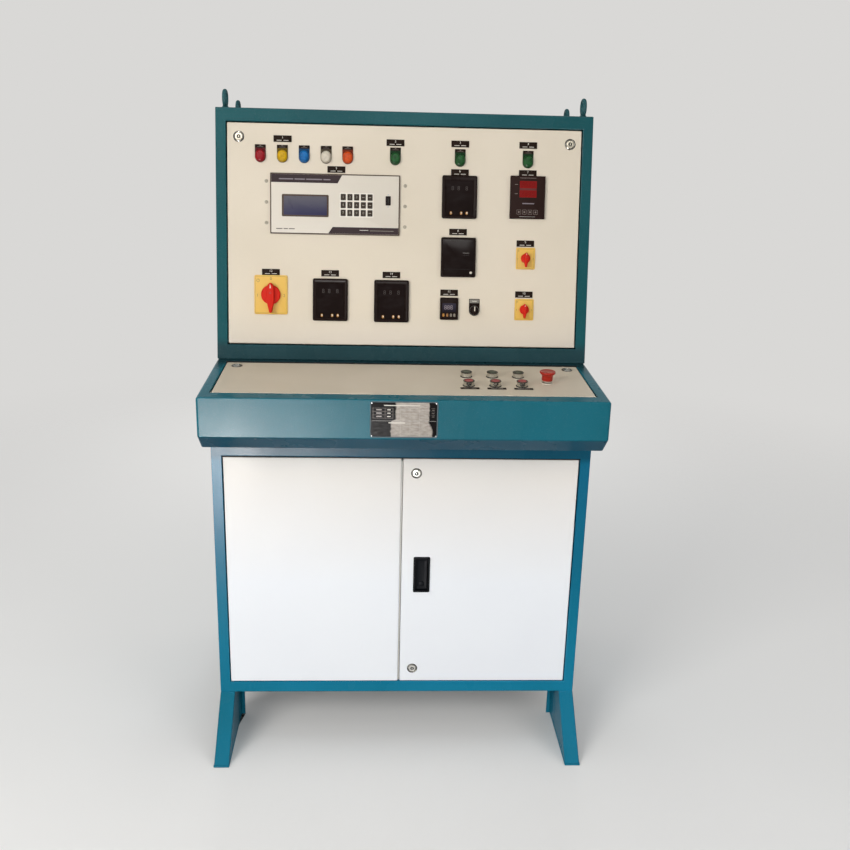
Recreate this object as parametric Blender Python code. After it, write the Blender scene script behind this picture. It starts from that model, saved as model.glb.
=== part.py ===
"""Transformer testing panel: a free-standing sheet-steel test desk.

A cabinet with two doors stands on four kicked feet and carries a shallow desk with a
hinged lid. A console that leans back rises behind the desk, with a hinged instrument
door full of meters, lamps and switches. All lengths are in metres, +Z is up, the front
faces -Y, and the origin is on the floor under the middle of the whole object.
"""

import math

import bmesh
import bpy
from mathutils import Matrix, Vector

# Overall body
BODY_WIDTH = 0.950
CABINET_DEPTH = 0.570
CABINET_HEIGHT = 0.732
FOOT_HEIGHT = 0.130
SHEET = 0.002
FIT = 0.0003
OVERRUN = 0.004

# Desk in front of and above the cabinet
DESK_OVERHANG = 0.170
DESK_FRONT_HEIGHT = 0.0945
CHAMFER_DEPTH = 0.045
CHAMFER_RISE = 0.0395
DESK_TOP_RISE = 0.0125

# Console above the desk
CONSOLE_SETBACK = 0.153
CONSOLE_FACE = 0.626
CONSOLE_LEAN = math.radians(10.0)
ROOF_DROP = 0.030

# Frames round the doors and the lid
STILE = 0.026
LEAF_GAP = 0.003
LEAF_DEPTH = 0.018
LEAF_SHEET = 0.002
CENTRE_GAP = 0.005
CABINET_BOTTOM_RAIL = 0.031
CABINET_TOP_RAIL = 0.064
CONSOLE_BOTTOM_RAIL = 0.038
CONSOLE_TOP_RAIL = 0.033
DESK_FRONT_RAIL = 0.040
DESK_REAR_RAIL = 0.026

# Hinge rods
ROD_RADIUS = 0.003
ROD_SEAT = 0.009
ROD_CLEARANCE = 0.0005

# Rear covers and openings
REAR_FLANGE = 0.045
COVER_LAP = 0.018
SLOT_LENGTH = 0.150
SLOT_HEIGHT = 0.006
SLOT_PITCH = 0.022
SLOT_COUNT = 5
SLOT_COLUMN_SHARE = 0.27
CABLE_OPENING_WIDTH = 0.500
CABLE_OPENING_DEPTH = 0.160
CABLE_OPENING_REAR_MARGIN = 0.080

# Feet
FOOT_WIDTH = 0.038
FOOT_KICK = 0.145
FOOT_LENGTH = 0.098
FOOT_SHEET = 0.003
FOOT_FLANGE = 0.012

# Eyebolts
EYE_RING_RADIUS = 0.017
EYE_WIRE_RADIUS = 0.0055
EYE_COLLAR_RADIUS = 0.012
EYE_COLLAR_HEIGHT = 0.008
EYE_SHANK_RADIUS = 0.005
EYE_SHANK_LENGTH = 0.014
EYE_SIDE_INSET = 0.020
EYE_END_INSET = 0.038

# Quarter-turn latches
LATCH_RADIUS = 0.009
LATCH_HEAD = 0.003
CAM_REACH = 0.048
CAM_WIDTH = 0.014
CAM_THICKNESS = 0.003
CAM_CLEARANCE = 0.001
DOOR_LATCH_INSET = 0.0335
DOOR_LATCH_MARGIN = 0.038
FACE_LATCH_INSET = 0.029
FACE_LATCH_MARGIN = 0.034
LID_LATCH_MARGIN = 0.032

# Recessed pull handle in the right-hand door
PULL_WIDTH = 0.043
PULL_HEIGHT = 0.100
PULL_INSET = 0.0525
PULL_LEVEL_SHARE = 0.497
PULL_FLANGE = 0.0025
PULL_RIM = 0.0035
PULL_POCKET_DEPTH = 0.022
PULL_WALL = 0.0015

# Push buttons and emergency stop on the lid
BUTTON_RADIUS = 0.0105
BUTTON_STAND = 0.014
BUTTON_STEM = 0.030
BUTTON_DOME = 0.002
BUTTON_COLUMN_SHARES = (0.1727, 0.2447, 0.3167)
BUTTON_REAR_ROW_SHARE = 0.600
BUTTON_FRONT_ROW_SHARE = 0.300
STOP_COLUMN_SHARE = 0.389
STOP_ROW_SHARE = 0.405
STOP_HEAD_RADIUS = 0.020
STOP_HEAD_HEIGHT = 0.010
STOP_SKIRT_RADIUS = 0.0145
STOP_SKIRT_HEIGHT = 0.012
STOP_LIFT = 0.009
STOP_STEM_RADIUS = 0.011
STOP_STEM = 0.034

# Signal lamps
LAMP_PLATE_WIDTH = 0.027
LAMP_PLATE_HEIGHT = 0.0435
LAMP_PLATE_DEPTH = 0.0025
LAMP_LENS_RADIUS = 0.0115
LAMP_LENS_TIP_RADIUS = 0.0095
LAMP_LENS_HEIGHT = 0.009
LAMP_BARREL_RADIUS = 0.0105
LAMP_BARREL_LENGTH = 0.045
LAMP_ROW_SHARE = 0.850
LAMP_COLUMN_SHARES = {
    "lamp_red": -0.4075,
    "lamp_yellow": -0.346,
    "lamp_blue": -0.285,
    "lamp_white": -0.2235,
    "lamp_orange": -0.163,
    "lamp_green_left": -0.0287,
    "lamp_green_middle": 0.1547,
    "lamp_green_right": 0.3482,
}

# Panel instruments: bezel width and height, then the depth of the case behind the door
METER_WIDTH = 0.089
METER_HEIGHT = 0.107
METER_CASE_DEPTH = 0.055
TIMER_WIDTH = 0.047
TIMER_HEIGHT = 0.057
TIMER_CASE_DEPTH = 0.060
ANALYSER_WIDTH = 0.326
ANALYSER_HEIGHT = 0.150
ANALYSER_CASE_DEPTH = 0.090
BEZEL_DEPTH = 0.008
ANALYSER_BEZEL_DEPTH = 0.005
CASE_STEP = 0.005
BEZEL_RIM = 0.004
BEZEL_RECESS = 0.0015
METER_PLACE_SHARES = {
    "meter_upper": (0.155, 0.688),
    "controller_upper": (0.3494, 0.693),
    "meter_lower_left": (-0.2098, 0.208),
    "meter_lower_middle": (-0.0348, 0.206),
}
METER_MIDDLE_HEIGHT = 0.100
METER_MIDDLE_PLACE_SHARE = (0.155, 0.4135)
TIMER_PLACE_SHARE = (0.1314, 0.1754)
ANALYSER_PLACE_SHARE = (-0.1973, 0.643)

# Rotary switches
MAIN_PLATE_WIDTH = 0.084
MAIN_PLATE_HEIGHT = 0.099
MAIN_KNOB_RADIUS = 0.0245
MAIN_CASE_SIZE = 0.060
MAIN_PLACE_SHARE = (-0.3787, 0.2266)
SMALL_PLATE_WIDTH = 0.049
SMALL_PLATE_HEIGHT = 0.055
SMALL_KNOB_RADIUS = 0.012
SMALL_CASE_SIZE = 0.036
UPPER_PLACE_SHARE = (0.349, 0.4138)
LOWER_PLACE_SHARE = (0.349, 0.1767)
SWITCH_PLATE_DEPTH = 0.003
SWITCH_CASE_DEPTH = 0.055
KNOB_BASE_HEIGHT = 0.008
KNOB_GRIP_HEIGHT = 0.018
KNOB_GRIP_SHARES = ((0.12, 1.20), (0.36, 0.80), (0.42, -0.60), (0.12, -1.85))
SELECTOR_GRIP_SHARES = ((0.30, 1.00), (0.36, 0.60), (0.36, -0.60), (0.30, -1.00))
KNOB_SHAFT_RADIUS_SHARE = 0.20
KNOB_SHAFT_LENGTH = 0.016
SELECTOR_RADIUS = 0.011
SELECTOR_STEM = 0.030
SELECTOR_PLACE_SHARE = (0.2042, 0.1685)

# Equipment inside the cabinet
PLATE_SHEET = 0.003
PLATE_SETBACK = 0.080
PLATE_BOTTOM_MARGIN = 0.060
PLATE_TOP_MARGIN = 0.090
BREAKER_SIZE = (0.105, 0.086, 0.161)
BREAKER_TOGGLE = (0.020, 0.018, 0.028)
CONTACTOR_SIZE = (0.075, 0.095, 0.105)
CONTACTOR_CAP = (0.045, 0.020, 0.060)
TERMINAL_SIZE = (0.420, 0.042, 0.050)
TERMINAL_SLOT = 0.008
TERMINAL_COUNT = 12
BREAKER_COLUMN_SHARE = -0.22
CONTACTOR_COLUMN_SHARE = 0.12
DEVICE_ROW_SHARE = 0.66
TERMINAL_ROW_SHARE = 0.22

# Facets on round pieces
ROUND_SIDES = 24
SMALL_SIDES = 16
WIRE_SIDES = 8
SHARP_ANGLE = math.radians(30)

# Colours, roughness and metallic values
TEAL = ((0.030, 0.170, 0.230), 0.45, 0.0)
CREAM = ((0.780, 0.700, 0.560), 0.40, 0.0)
WHITE = ((0.880, 0.880, 0.890), 0.35, 0.0)
ZINC = ((0.600, 0.600, 0.620), 0.35, 0.9)
BLACK = ((0.015, 0.014, 0.014), 0.40, 0.0)
GREY = ((0.620, 0.610, 0.590), 0.45, 0.0)
YELLOW = ((0.850, 0.560, 0.090), 0.40, 0.0)
RED = ((0.650, 0.035, 0.025), 0.35, 0.0)
CAP_GREEN = ((0.180, 0.260, 0.200), 0.40, 0.0)
LAMP_COLOURS = {
    "lamp_red": ((0.320, 0.020, 0.025), 0.25, 0.0),
    "lamp_yellow": ((0.600, 0.400, 0.020), 0.25, 0.0),
    "lamp_blue": ((0.020, 0.130, 0.380), 0.25, 0.0),
    "lamp_white": ((0.700, 0.650, 0.580), 0.25, 0.0),
    "lamp_orange": ((0.700, 0.120, 0.020), 0.25, 0.0),
    "lamp_green_left": ((0.030, 0.120, 0.040), 0.25, 0.0),
    "lamp_green_middle": ((0.030, 0.120, 0.040), 0.25, 0.0),
    "lamp_green_right": ((0.030, 0.120, 0.040), 0.25, 0.0),
}

# Sizes that follow from the ones above
HALF_WIDTH = BODY_WIDTH / 2
CABINET_TOP = FOOT_HEIGHT + CABINET_HEIGHT
DESK_BASE = CABINET_TOP + FIT
DESK_FRONT_TOP = CABINET_TOP + CHAMFER_RISE + DESK_FRONT_HEIGHT
DESK_RUN = DESK_OVERHANG + CONSOLE_SETBACK
DESK_SLOPE = math.atan2(DESK_TOP_RISE, DESK_RUN)
DESK_TOP_LENGTH = math.hypot(DESK_TOP_RISE, DESK_RUN)
CONSOLE_BASE = DESK_FRONT_TOP + DESK_TOP_RISE
ROOF_FRONT_Y = CONSOLE_SETBACK + CONSOLE_FACE * math.sin(CONSOLE_LEAN)
ROOF_FRONT_Z = CONSOLE_BASE + CONSOLE_FACE * math.cos(CONSOLE_LEAN)
ROOF_RUN = CABINET_DEPTH - ROOF_FRONT_Y
ROOF_SLOPE = math.atan2(ROOF_DROP, ROOF_RUN)
ROOF_LENGTH = math.hypot(ROOF_DROP, ROOF_RUN)
OPENING_HALF = HALF_WIDTH - STILE
LEAF_HALF = OPENING_HALF - LEAF_GAP
LEAF_WIDTH = 2 * LEAF_HALF
ROD_INSET = LEAF_SHEET + ROD_RADIUS + ROD_CLEARANCE
FRONT_MOST = -max(DESK_OVERHANG, FOOT_KICK)
REAR_MOST = CABINET_DEPTH + FOOT_KICK
CENTRE_SHIFT = -(FRONT_MOST + REAR_MOST) / 2


def clear_scene():
    """Remove every object, so that the model starts from an empty scene."""
    for old in list(bpy.data.objects):
        bpy.data.objects.remove(old, do_unlink=True)


def make_collection(name):
    """Make a collection and link it to the scene."""
    collection = bpy.data.collections.new(name)
    bpy.context.scene.collection.children.link(collection)
    return collection


clear_scene()
PARTS = make_collection("transformer_testing_panel")
CUTTERS = make_collection("cutters")
WELD = FIT / 10


# Shapes: each one is a function that draws into a bmesh


def block(low, high):
    """A box between two opposite corners."""
    centre = [(a + b) / 2 for a, b in zip(low, high)]
    size = [b - a for a, b in zip(low, high)]

    def draw(mesh):
        place = Matrix.Translation(centre) @ Matrix.Diagonal((*size, 1))
        bmesh.ops.create_cube(mesh, size=1, matrix=place)

    return draw


AXIS_TURNS = {
    "X": Matrix.Rotation(math.pi / 2, 4, "Y"),
    "Y": Matrix.Rotation(-math.pi / 2, 4, "X"),
    "Z": Matrix.Identity(4),
}


def drum(axis, start, radius, length, sides=ROUND_SIDES, end_radius=None):
    """A cylinder or cone that runs along an axis from its start point."""
    last = radius if end_radius is None else end_radius

    def draw(mesh):
        turn = Matrix.Translation(start) @ AXIS_TURNS[axis]
        place = turn @ Matrix.Translation((0, 0, length / 2))
        bmesh.ops.create_cone(
            mesh, cap_ends=True, segments=sides, radius1=radius, radius2=last,
            depth=length, matrix=place,
        )

    return draw


def outline_mesh(points, thickness):
    """A flat outline filled and thickened as a 2D curve, then welded into a mesh."""
    curve = bpy.data.curves.new("outline", "CURVE")
    curve.dimensions = "2D"
    curve.fill_mode = "BOTH"
    curve.extrude = thickness / 2
    spline = curve.splines.new("POLY")
    spline.points.add(len(points) - 1)
    for point, (across, up) in zip(spline.points, points):
        point.co = (across, up, 0, 1)
    spline.use_cyclic_u = True
    guide = bpy.data.objects.new("outline", curve)
    CUTTERS.objects.link(guide)
    view = bpy.context.evaluated_depsgraph_get()
    mesh = bpy.data.meshes.new_from_object(guide.evaluated_get(view))
    bpy.data.objects.remove(guide, do_unlink=True)
    return mesh


def profile(points, low, high, turn):
    """An outline thickened between two levels, then turned out of the XY plane."""

    def draw(mesh):
        flat = outline_mesh(points, high - low)
        flat.transform(turn @ Matrix.Translation((0, 0, (low + high) / 2)))
        first = len(mesh.verts)
        mesh.from_mesh(flat)
        mesh.verts.ensure_lookup_table()
        bmesh.ops.remove_doubles(mesh, verts=mesh.verts[first:], dist=WELD)
        bpy.data.meshes.remove(flat)

    return draw


# Turns that take an outline's (across, up, thickness) to (y, z, x) and to (x, z, -y)
SIDE_ON = Matrix(((0, 0, 1, 0), (1, 0, 0, 0), (0, 1, 0, 0), (0, 0, 0, 1)))
FACE_ON = Matrix(((1, 0, 0, 0), (0, 0, -1, 0), (0, 1, 0, 0), (0, 0, 0, 1)))


def side_profile(points, low_x, high_x):
    """A solid whose side outline is given as (y, z) points, between two x values."""
    return profile(points, low_x, high_x, SIDE_ON)


def front_profile(points, near_y, far_y):
    """A solid whose front outline is given as (x, z) points, between two y values."""
    return profile(points, -far_y, -near_y, FACE_ON)


def ring(centre, radius, wire):
    """A torus that lies in the YZ plane, swept as a round wire round a circle."""

    def draw(mesh):
        bpy.ops.mesh.primitive_torus_add(
            major_radius=radius, minor_radius=wire,
            major_segments=ROUND_SIDES, minor_segments=WIRE_SIDES,
        )
        made = bpy.context.object
        made.data.transform(Matrix.Translation(centre) @ AXIS_TURNS["X"])
        mesh.from_mesh(made.data)
        bpy.data.objects.remove(made, do_unlink=True)

    return draw


def turned_about_x(shape, pivot, angle):
    """The same shape, turned about an axis along X through a pivot point."""

    def draw(mesh):
        first = len(mesh.verts)
        shape(mesh)
        mesh.verts.ensure_lookup_table()
        shift = Matrix.Translation(pivot)
        turn = shift @ Matrix.Rotation(angle, 4, "X") @ shift.inverted()
        bmesh.ops.transform(mesh, matrix=turn, verts=mesh.verts[first:])

    return draw


def lifted(shape, offset):
    """The same shape, moved by an offset."""

    def draw(mesh):
        first = len(mesh.verts)
        shape(mesh)
        mesh.verts.ensure_lookup_table()
        bmesh.ops.translate(mesh, vec=offset, verts=mesh.verts[first:])

    return draw


# Frames: empties that carry the pieces and sit on the joint axes


class Frame:
    """An empty, with its own place in the coordinates that its pieces are drawn in."""

    def __init__(self, name, parent=None, place=(0, 0, 0), lean=0.0, pivot=None):
        self.empty = bpy.data.objects.new(name, None)
        PARTS.objects.link(self.empty)
        if parent is not None:
            self.empty.parent = parent.empty
            place = Vector(place) - parent.base
        self.empty.location = place
        self.empty.rotation_euler = (lean, 0, 0)
        self.base = Vector(pivot) if pivot is not None else Vector((0, 0, 0))


def finish_material(name, look):
    """A plain Principled material with a colour, a roughness and a metallic value."""
    colour, rough, metal = look
    material = bpy.data.materials.new(name)
    material.use_nodes = True
    shader = material.node_tree.nodes["Principled BSDF"]
    shader.inputs["Base Color"].default_value = (*colour, 1)
    shader.inputs["Roughness"].default_value = rough
    shader.inputs["Metallic"].default_value = metal
    material.diffuse_color = (*colour, 1)
    return material


def mesh_object(name, shapes, origin, frame, collection):
    """One mesh object drawn from shapes, with its origin at a point of the frame."""
    drawn = bmesh.new()
    for shape in shapes:
        shape(drawn)
    bmesh.ops.translate(drawn, vec=-Vector(origin), verts=drawn.verts[:])
    bmesh.ops.recalc_face_normals(drawn, faces=drawn.faces[:])
    mesh = bpy.data.meshes.new(name)
    drawn.to_mesh(mesh)
    drawn.free()
    made = bpy.data.objects.new(name, mesh)
    collection.objects.link(made)
    made.parent = frame.empty
    made.location = Vector(origin) - frame.base
    return made


def join(shape):
    """A step that joins a shape to a piece."""
    return ("UNION", [shape])


def cut(*shapes):
    """A step that cuts a group of shapes out of a piece."""
    return ("DIFFERENCE", shapes)


def piece(name, frame, look, body, *steps, origin=(0, 0, 0)):
    """A named piece: a body, then the steps that join shapes to it or cut them out."""
    made = mesh_object(name, [body], origin, frame, PARTS)
    for number, (operation, shapes) in enumerate(steps):
        tool = mesh_object(f"{name}_tool_{number}", shapes, origin, frame, CUTTERS)
        tool.hide_render = True
        tool.display_type = "WIRE"
        step = made.modifiers.new(f"{operation.lower()}_{number}", "BOOLEAN")
        step.operation = operation
        step.object = tool
        step.solver = "EXACT"
    made.data.materials.append(finish_material(name, look))
    made.data.shade_smooth()
    made.data.set_sharp_from_angle(angle=SHARP_ANGLE)


def inset_outline(points, insets):
    """Move each side of an outline inwards by its own distance and join the corners."""
    count = len(points)
    area = sum(
        points[i][0] * points[(i + 1) % count][1] - points[(i + 1) % count][0] * points[i][1]
        for i in range(count)
    )
    way = 1 if area > 0 else -1
    lines = []
    for i, inset in enumerate(insets):
        start = Vector(points[i])
        end = Vector(points[(i + 1) % count])
        along = (end - start).normalized()
        inward = Vector((-along.y, along.x)) * way
        lines.append((start + inward * inset, along))
    corners = []
    for i in range(count):
        (p, a), (q, b) = lines[i - 1], lines[i]
        cross = a.x * b.y - a.y * b.x
        step = ((q - p).x * b.y - (q - p).y * b.x) / cross
        corners.append(tuple(p + a * step))
    return corners


# The carrying frames

STAND = Frame("stand", place=(0, CENTRE_SHIFT, 0))
FACE = Frame("console_face", STAND, (0, CONSOLE_SETBACK, CONSOLE_BASE), -CONSOLE_LEAN)
DESK = Frame("desk_top", STAND, (0, -DESK_OVERHANG, DESK_FRONT_TOP), DESK_SLOPE)
ROOF = Frame("roof", STAND, (0, ROOF_FRONT_Y, ROOF_FRONT_Z), -ROOF_SLOPE)

# Openings: across, low and high edge of each, in the frame that carries it
CABINET_LOW = FOOT_HEIGHT + CABINET_BOTTOM_RAIL
CABINET_HIGH = CABINET_TOP - CABINET_TOP_RAIL
FACE_LOW = CONSOLE_BOTTOM_RAIL
FACE_HIGH = CONSOLE_FACE - CONSOLE_TOP_RAIL
LID_NEAR = DESK_FRONT_RAIL
LID_FAR = DESK_TOP_LENGTH - DESK_REAR_RAIL

# Joint axes of the doors and the lid
LEFT_AXIS = (-LEAF_HALF + ROD_INSET, ROD_INSET, CABINET_LOW)
RIGHT_AXIS = (LEAF_HALF - ROD_INSET, ROD_INSET, CABINET_LOW)
FACE_AXIS = (0, ROD_INSET, FACE_LOW + LEAF_GAP + ROD_INSET)
LID_AXIS = (0, LID_NEAR + LEAF_GAP + ROD_INSET, -ROD_INSET)
LEFT = Frame("left_door_hinge", STAND, LEFT_AXIS, pivot=LEFT_AXIS)
RIGHT = Frame("right_door_hinge", STAND, RIGHT_AXIS, pivot=RIGHT_AXIS)
DOOR = Frame("instrument_door_hinge", FACE, FACE_AXIS, pivot=FACE_AXIS)
LID = Frame("desk_lid_hinge", DESK, LID_AXIS, pivot=LID_AXIS)


# Cabinet


def cable_opening(low_z, high_z):
    """The opening that passes wiring between two housings, as one block."""
    half = CABLE_OPENING_WIDTH / 2
    far = CABINET_DEPTH - CABLE_OPENING_REAR_MARGIN
    return block((-half, far - CABLE_OPENING_DEPTH, low_z), (half, far, high_z))


def rear_opening(low_z, high_z):
    """The opening in a rear wall, inside the flange that the cover screws to."""
    half = HALF_WIDTH - REAR_FLANGE
    rear = CABINET_DEPTH + OVERRUN
    return block((-half, CABINET_DEPTH - LEAF_DEPTH, low_z), (half, rear, high_z))


def rod_bores(ends, axis_of):
    """Blind bores that hold the ends of hinge rods, drawn from the opening's edges."""
    radius = ROD_RADIUS + FIT
    depth = ROD_SEAT + FIT + OVERRUN
    return [drum(axis_of, start, radius, depth, SMALL_SIDES) for start in ends]


def make_cabinet():
    """The cabinet: four walls, a floor, a front frame and a flanged rear opening."""
    low = (-HALF_WIDTH, 0, FOOT_HEIGHT + FIT)
    high = (HALF_WIDTH, CABINET_DEPTH, CABINET_TOP)
    cavity = block(
        (low[0] + SHEET, LEAF_DEPTH, low[2] + SHEET),
        (high[0] - SHEET, high[1] - SHEET, high[2] - SHEET),
    )
    front = block(
        (-OPENING_HALF, -OVERRUN, CABINET_LOW),
        (OPENING_HALF, LEAF_DEPTH + OVERRUN, CABINET_HIGH),
    )
    rear = rear_opening(FOOT_HEIGHT + REAR_FLANGE, CABINET_TOP - REAR_FLANGE)
    top = cable_opening(CABINET_TOP - SHEET - OVERRUN, CABINET_TOP + OVERRUN)
    seat = ROD_SEAT + FIT
    ends = []
    for axis in (LEFT_AXIS, RIGHT_AXIS):
        ends.append((axis[0], axis[1], CABINET_LOW - seat))
        ends.append((axis[0], axis[1], CABINET_HIGH - OVERRUN))
    piece(
        "cabinet_shell", STAND, TEAL, block(low, high),
        cut(cavity), cut(front, rear, top), cut(*rod_bores(ends, "Z")),
    )


def rear_cover(name, low_z, high_z):
    """A flat rear cover with two columns of ventilation slots."""
    half = HALF_WIDTH - REAR_FLANGE + COVER_LAP
    near = CABINET_DEPTH + FIT
    plate = block((-half, near, low_z - COVER_LAP), (half, near + SHEET, high_z + COVER_LAP))
    slots = []
    middle = (low_z + high_z) / 2
    for side in (-1, 1):
        across = side * SLOT_COLUMN_SHARE * 2 * half
        for number in range(SLOT_COUNT):
            level = middle + (number - (SLOT_COUNT - 1) / 2) * SLOT_PITCH
            slots.append(block(
                (across - SLOT_LENGTH / 2, near - OVERRUN, level - SLOT_HEIGHT / 2),
                (across + SLOT_LENGTH / 2, near + SHEET + OVERRUN, level + SLOT_HEIGHT / 2),
            ))
    piece(name, STAND, TEAL, plate, cut(*slots))


# Desk and console housings


def make_desk():
    """The desk housing: a flat box with a bevelled lower front edge and an open top."""
    outline = [
        (-DESK_OVERHANG, DESK_FRONT_TOP),
        (-DESK_OVERHANG, DESK_BASE + CHAMFER_RISE),
        (-DESK_OVERHANG + CHAMFER_DEPTH, DESK_BASE),
        (CABINET_DEPTH, DESK_BASE),
        (CABINET_DEPTH, CONSOLE_BASE),
        (CONSOLE_SETBACK, CONSOLE_BASE),
    ]
    inner = inset_outline(outline, [SHEET, SHEET, SHEET, SHEET, LEAF_DEPTH, LEAF_DEPTH])
    cavity = side_profile(inner, -HALF_WIDTH + SHEET, HALF_WIDTH - SHEET)
    to_desk = Vector((0, -DESK_OVERHANG, DESK_FRONT_TOP))

    def on_desk(shape):
        return turned_about_x(lifted(shape, to_desk), to_desk, DESK_SLOPE)

    opening = on_desk(block(
        (-OPENING_HALF, LID_NEAR, -LEAF_DEPTH - OVERRUN), (OPENING_HALF, LID_FAR, OVERRUN)
    ))
    lower = cable_opening(DESK_BASE - OVERRUN, DESK_BASE + SHEET + OVERRUN)
    upper = cable_opening(CONSOLE_BASE - LEAF_DEPTH - OVERRUN, CONSOLE_BASE + OVERRUN)
    seat = ROD_SEAT + FIT
    starts = [
        (-OPENING_HALF - seat, LID_AXIS[1], LID_AXIS[2]),
        (OPENING_HALF - OVERRUN, LID_AXIS[1], LID_AXIS[2]),
    ]
    bores = [on_desk(bore) for bore in rod_bores(starts, "X")]
    piece(
        "desk_housing", STAND, TEAL, side_profile(outline, -HALF_WIDTH, HALF_WIDTH),
        cut(cavity), cut(opening, lower, upper), cut(*bores),
    )


def make_console():
    """The console housing, with a front frame that leans back and a sloping roof."""
    base = CONSOLE_BASE + FIT
    foot_y = CONSOLE_SETBACK + FIT * math.tan(CONSOLE_LEAN)
    outline = [
        (foot_y, base),
        (CABINET_DEPTH, base),
        (CABINET_DEPTH, ROOF_FRONT_Z - ROOF_DROP),
        (ROOF_FRONT_Y, ROOF_FRONT_Z),
    ]
    inner = inset_outline(outline, [SHEET, SHEET, SHEET, LEAF_DEPTH])
    cavity = side_profile(inner, -HALF_WIDTH + SHEET, HALF_WIDTH - SHEET)
    to_face = Vector((0, CONSOLE_SETBACK, CONSOLE_BASE))
    to_roof = Vector((0, ROOF_FRONT_Y, ROOF_FRONT_Z))

    def on_face(shape):
        return turned_about_x(lifted(shape, to_face), to_face, -CONSOLE_LEAN)

    opening = on_face(block(
        (-OPENING_HALF, -OVERRUN, FACE_LOW), (OPENING_HALF, LEAF_DEPTH + OVERRUN, FACE_HIGH)
    ))
    rear_high = ROOF_FRONT_Z - ROOF_DROP - REAR_FLANGE
    rear = rear_opening(base + REAR_FLANGE, rear_high)
    floor = cable_opening(base - OVERRUN, base + SHEET + OVERRUN)
    seat = ROD_SEAT + FIT
    starts = [
        (-OPENING_HALF - seat, FACE_AXIS[1], FACE_AXIS[2]),
        (OPENING_HALF - OVERRUN, FACE_AXIS[1], FACE_AXIS[2]),
    ]
    bores = [on_face(bore) for bore in rod_bores(starts, "X")]
    holes = []
    for place in eyebolt_places():
        start = Vector(place) + to_roof - Vector((0, 0, SHEET + OVERRUN))
        hole = drum("Z", start, EYE_SHANK_RADIUS + FIT, SHEET + 2 * OVERRUN, SMALL_SIDES)
        holes.append(turned_about_x(hole, to_roof, -ROOF_SLOPE))
    piece(
        "console_shell", STAND, TEAL, side_profile(outline, -HALF_WIDTH, HALF_WIDTH),
        cut(cavity), cut(opening, rear, floor), cut(*bores, *holes),
    )
    rear_cover("console_rear_cover", base + REAR_FLANGE, rear_high)


def eyebolt_places():
    """The four eyebolt centres on the roof, front pair first, left before right."""
    across = HALF_WIDTH - EYE_SIDE_INSET
    return [
        (side * across, along, 0)
        for along in (EYE_END_INSET, ROOF_LENGTH - EYE_END_INSET)
        for side in (-1, 1)
    ]


def make_eyebolts():
    """Lifting eyebolts at the roof's corners, with their rings facing sideways."""
    names = ("front_left", "front_right", "rear_left", "rear_right")
    for name, place in zip(names, eyebolt_places()):
        foot = Vector(place) + Vector((0, 0, FIT))
        shank_start = foot - Vector((0, 0, EYE_SHANK_LENGTH))
        shank_length = EYE_SHANK_LENGTH + EYE_COLLAR_HEIGHT / 2
        ring_centre = foot + Vector((0, 0, EYE_COLLAR_HEIGHT + EYE_RING_RADIUS))
        collar = drum("Z", foot, EYE_COLLAR_RADIUS, EYE_COLLAR_HEIGHT, SMALL_SIDES, EYE_WIRE_RADIUS)
        shank = drum("Z", shank_start, EYE_SHANK_RADIUS, shank_length, SMALL_SIDES)
        eye = ring(ring_centre, EYE_RING_RADIUS, EYE_WIRE_RADIUS)
        piece(f"eyebolt_{name}", ROOF, TEAL, eye, join(collar), join(shank), origin=foot)


# Feet


def make_foot(name, side, rear):
    """A folded foot: a flange that kicks out, a web, a floor flange and a turned-in lip."""
    edge = CABINET_DEPTH if rear else 0
    way = -1 if rear else 1

    def depth(value):
        return edge + way * value

    outline = [
        (depth(0), FOOT_HEIGHT), (depth(-FOOT_KICK), 0),
        (depth(FOOT_LENGTH), 0), (depth(FOOT_LENGTH), FOOT_HEIGHT),
    ]
    inner = inset_outline(outline, [FOOT_SHEET, FOOT_SHEET, -OVERRUN, FOOT_SHEET])
    outer_x = side * HALF_WIDTH
    web_x = side * (HALF_WIDTH - FOOT_WIDTH)
    lip_x = web_x - side * FOOT_FLANGE
    hollow_x = sorted((web_x + side * FOOT_SHEET, outer_x + side * OVERRUN))
    bare_x = sorted((web_x, lip_x - side * OVERRUN))
    bare_y = sorted((depth(-FOOT_KICK - OVERRUN), depth(FOOT_LENGTH - FOOT_SHEET)))
    bare = block(
        (bare_x[0], bare_y[0], -OVERRUN), (bare_x[1], bare_y[1], FOOT_HEIGHT + OVERRUN)
    )
    body = side_profile(outline, min(lip_x, outer_x), max(lip_x, outer_x))
    piece(name, STAND, TEAL, body, cut(side_profile(inner, *hollow_x)), cut(bare))


# Doors


def tray(low, high, open_side):
    """A folded leaf: its outer block and the hollow that is open on one side."""
    sheet = Vector((LEAF_SHEET, LEAF_SHEET, LEAF_SHEET))
    hollow_low = Vector(low) + sheet
    hollow_high = Vector(high) - sheet
    if open_side == "rear":
        hollow_high.y = high[1] + OVERRUN
    else:
        hollow_low.z = low[2] - OVERRUN
    return block(low, high), block(tuple(hollow_low), tuple(hollow_high))


def hinge_rod(name, frame, axis, start, length):
    """A plain steel rod that a leaf turns on, seated at both ends in the frame."""
    piece(name, frame, ZINC, drum(axis, start, ROD_RADIUS, length, SMALL_SIDES), origin=start)


def rod_channel(axis, start, length):
    """The clearance bore through a leaf's end flanges, for its hinge rod."""
    return drum(axis, start, ROD_RADIUS + FIT, length, SMALL_SIDES)


DOOR_LOW = CABINET_LOW + LEAF_GAP
DOOR_HIGH = CABINET_HIGH - LEAF_GAP
LATCH_X = CENTRE_GAP / 2 + DOOR_LATCH_INSET
LATCH_LEVELS = {
    "upper_door_latch": (DOOR_HIGH - DOOR_LATCH_MARGIN, -1),
    "lower_door_latch": (DOOR_LOW + DOOR_LATCH_MARGIN, 1),
}


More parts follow.
